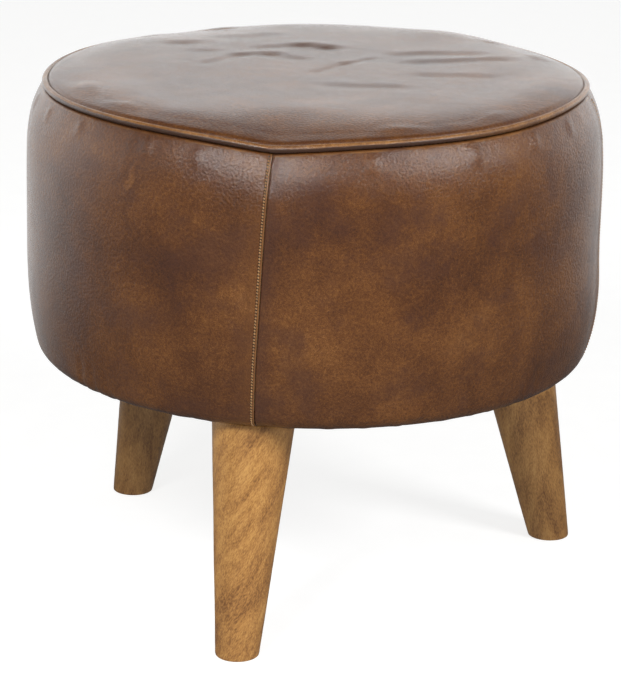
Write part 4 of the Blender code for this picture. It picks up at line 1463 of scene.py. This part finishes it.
def floor():
    """A pale floor with a faint shadow, which mirrors brightest behind and is open to a camera below it."""
    look = Look("pale_floor", roughness=0.9, specular_ior_level=0.05)
    cloudy = look.span(look.noise(30 * MM, 4.0), 0.3, 0.7, 0.97, 1.03)
    pale = look.times(cloudy, FLOOR_PALE, by_ray(look, 1.0, 1.0, 0.0))
    look.set(base_color=look.mix(pale, (0.0, 0.0, 0.0), (1.0, 1.0, 1.0)))
    mirrored = look.span(depth_behind(look, look.place), 0.1, 1.1, FLOOR_DIM, FLOOR_BRIGHT)
    glow = by_ray(look, FLOOR_GLOW, FLOOR_FILL, mirrored)
    look.set(emission_color=(1.0, 1.0, 0.995), emission_strength=glow)
    clear = look.add("ShaderNodeBsdfTransparent").outputs[0]
    under = look.add("ShaderNodeNewGeometry").outputs["Backfacing"]
    seen = look.add("ShaderNodeLightPath").outputs["Is Camera Ray"]
    inputs = {0: look.times(under, seen), 1: look.shader.outputs[0], 2: clear}
    both = look.add("ShaderNodeMixShader", inputs).outputs[0]
    look.feed(look.nodes["Material Output"].inputs["Surface"], both)
    bm = bmesh.new()
    bmesh.ops.create_grid(bm, x_segments=1, y_segments=1, size=4.0)
    obj = linked("floor", mesh_of("floor", bm))
    obj.data.materials.append(look.made)
    obj.location.z = -0.1 * MM


# ---------------------------------------------------------------- build


def spot(azimuth, height, radius, amount):
    """A patch of patina on the side: its centre, radius and how much lighter it is."""
    return tuple(polar(DRUM_RADIUS, azimuth, height).tolist()), radius, amount


FRONT_RIGHT_PATCHES = (
    spot(22, 0.369, 0.030, 0.07),
    spot(25, 0.245, 0.060, 0.06),
    spot(45, 0.259, 0.045, 0.07),
    spot(57, 0.377, 0.050, 0.06),
    spot(39, 0.295, 0.055, -0.07),
    spot(11, 0.349, 0.060, -0.05),
    spot(12, 0.266, 0.055, 0.04),
)
FRONT_LEFT_PATCHES = (
    spot(0, 0.288, 0.060, 0.06),
    spot(-24, 0.362, 0.006, 0.15),
    spot(-45, 0.300, 0.110, -0.05),
    spot(-20, 0.310, 0.070, -0.03),
    spot(-10, 0.350, 0.045, 0.04),
)


def cover():
    side = swollen_side()
    seat = swollen_top()
    patches = (FRONT_RIGHT_PATCHES, (), (), FRONT_LEFT_PATCHES)
    thread = thread_look("seam_thread", (0.46, 0.25, 0.080), (0.22, 0.105, 0.035))
    for number in range(len(PANELS)):
        shift = (0.37 * number, 0.21 * number, 0.53 * number)
        look = leather_look(f"side_hide_{number + 1}", shift, patches[number], seams=True)
        side_panel(number, side, look)
        stitches(number, side, thread)
    warm = (((-0.149, -0.125, CROWN_TOP), 0.05, 0.06),)
    seat_panel(seat, leather_look("seat_hide", (0.9, 0.4, 0.2), warm))
    # The piping's hide is lighter than the rest: partly wear, partly a painted highlight for its lit top.
    piping(leather_look("piping_hide", (0.2, 0.8, 0.5), shade=-0.26, shaded_under=True))
    piping_cord(cord_look())


def inside():
    seat_stuffing(foam_look(), wadding_look())
    foam_ring(bpy.data.materials["cut_foam"])
    plywood = plywood_look()
    finish_node("top_board", plywood)
    finish_node("base_board", plywood)
    finish_node("drum_wall", fibreboard_look())
    pine = ((0.66, 0.47, 0.27), (0.55, 0.36, 0.18), (0.38, 0.22, 0.10))
    for n in POSTS:
        look = wood_look(f"pine_{n}", (0.3 * n, 0.1, 0.0), *pine, shine=0.65, size=1.6)
        finish_node(f"frame_post_{n}", look)


# Light, middle and dark tones of the legs' wood, and how far each leg is darkened and how slanted its grain
# is.
# Legs 2 and 3 are darkened as painted shade, since they stand in the drum's shadow; leg 1 is only a little
# darker.
MANGO = ((0.580, 0.308, 0.084), (0.425, 0.200, 0.049), (0.190, 0.076, 0.020))
MANGO_PAINTED_SHADE = (0.94, 0.67, 0.52)
MANGO_SLANTS = (30.0, -16.0, 12.0)


def under():
    zinc = steel_look("zinc_plate", (0.62, 0.61, 0.58), (0.40, 0.40, 0.39), (0.20, 0.09, 0.04), 0.42)
    bolt = steel_look("bolt_zinc", (0.66, 0.64, 0.56), (0.44, 0.42, 0.36), (0.22, 0.10, 0.04), 0.34)
    yellow = steel_look("screw_zinc", (0.72, 0.60, 0.34), (0.50, 0.40, 0.22), (0.24, 0.12, 0.05), 0.34)
    staple = steel_look("staple_wire", (0.70, 0.70, 0.68), (0.48, 0.48, 0.47), (0.22, 0.11, 0.05), 0.30)
    dust_cover(dust_cloth_look())
    staples(staple)
    screws(yellow)
    for number in LEGS:
        finish_node(f"leg_plate_{number}", zinc)
        hanger_bolt(number, bolt)
        # Each leg's tones, darkened by its painted shade.
        tones = [tuple(part * MANGO_PAINTED_SHADE[number - 1] for part in colour) for colour in MANGO]
        shift = (0.05 + 0.31 * number, 0.03, 0.11 * number)
        leg(number, wood_look(f"mango_{number}", shift, *tones, slant=MANGO_SLANTS[number - 1]))


def studio():
    bpy.context.scene.view_settings.view_transform = "Standard"
    camera()
    room()
    floor()
    softbox("left_box", -24.0, 35.0, 0.52, 0.50, 30.0)
    softbox("right_box", 52.0, 32.0, 0.62, 0.50, 27.0)


cover()
inside()
under()
studio()
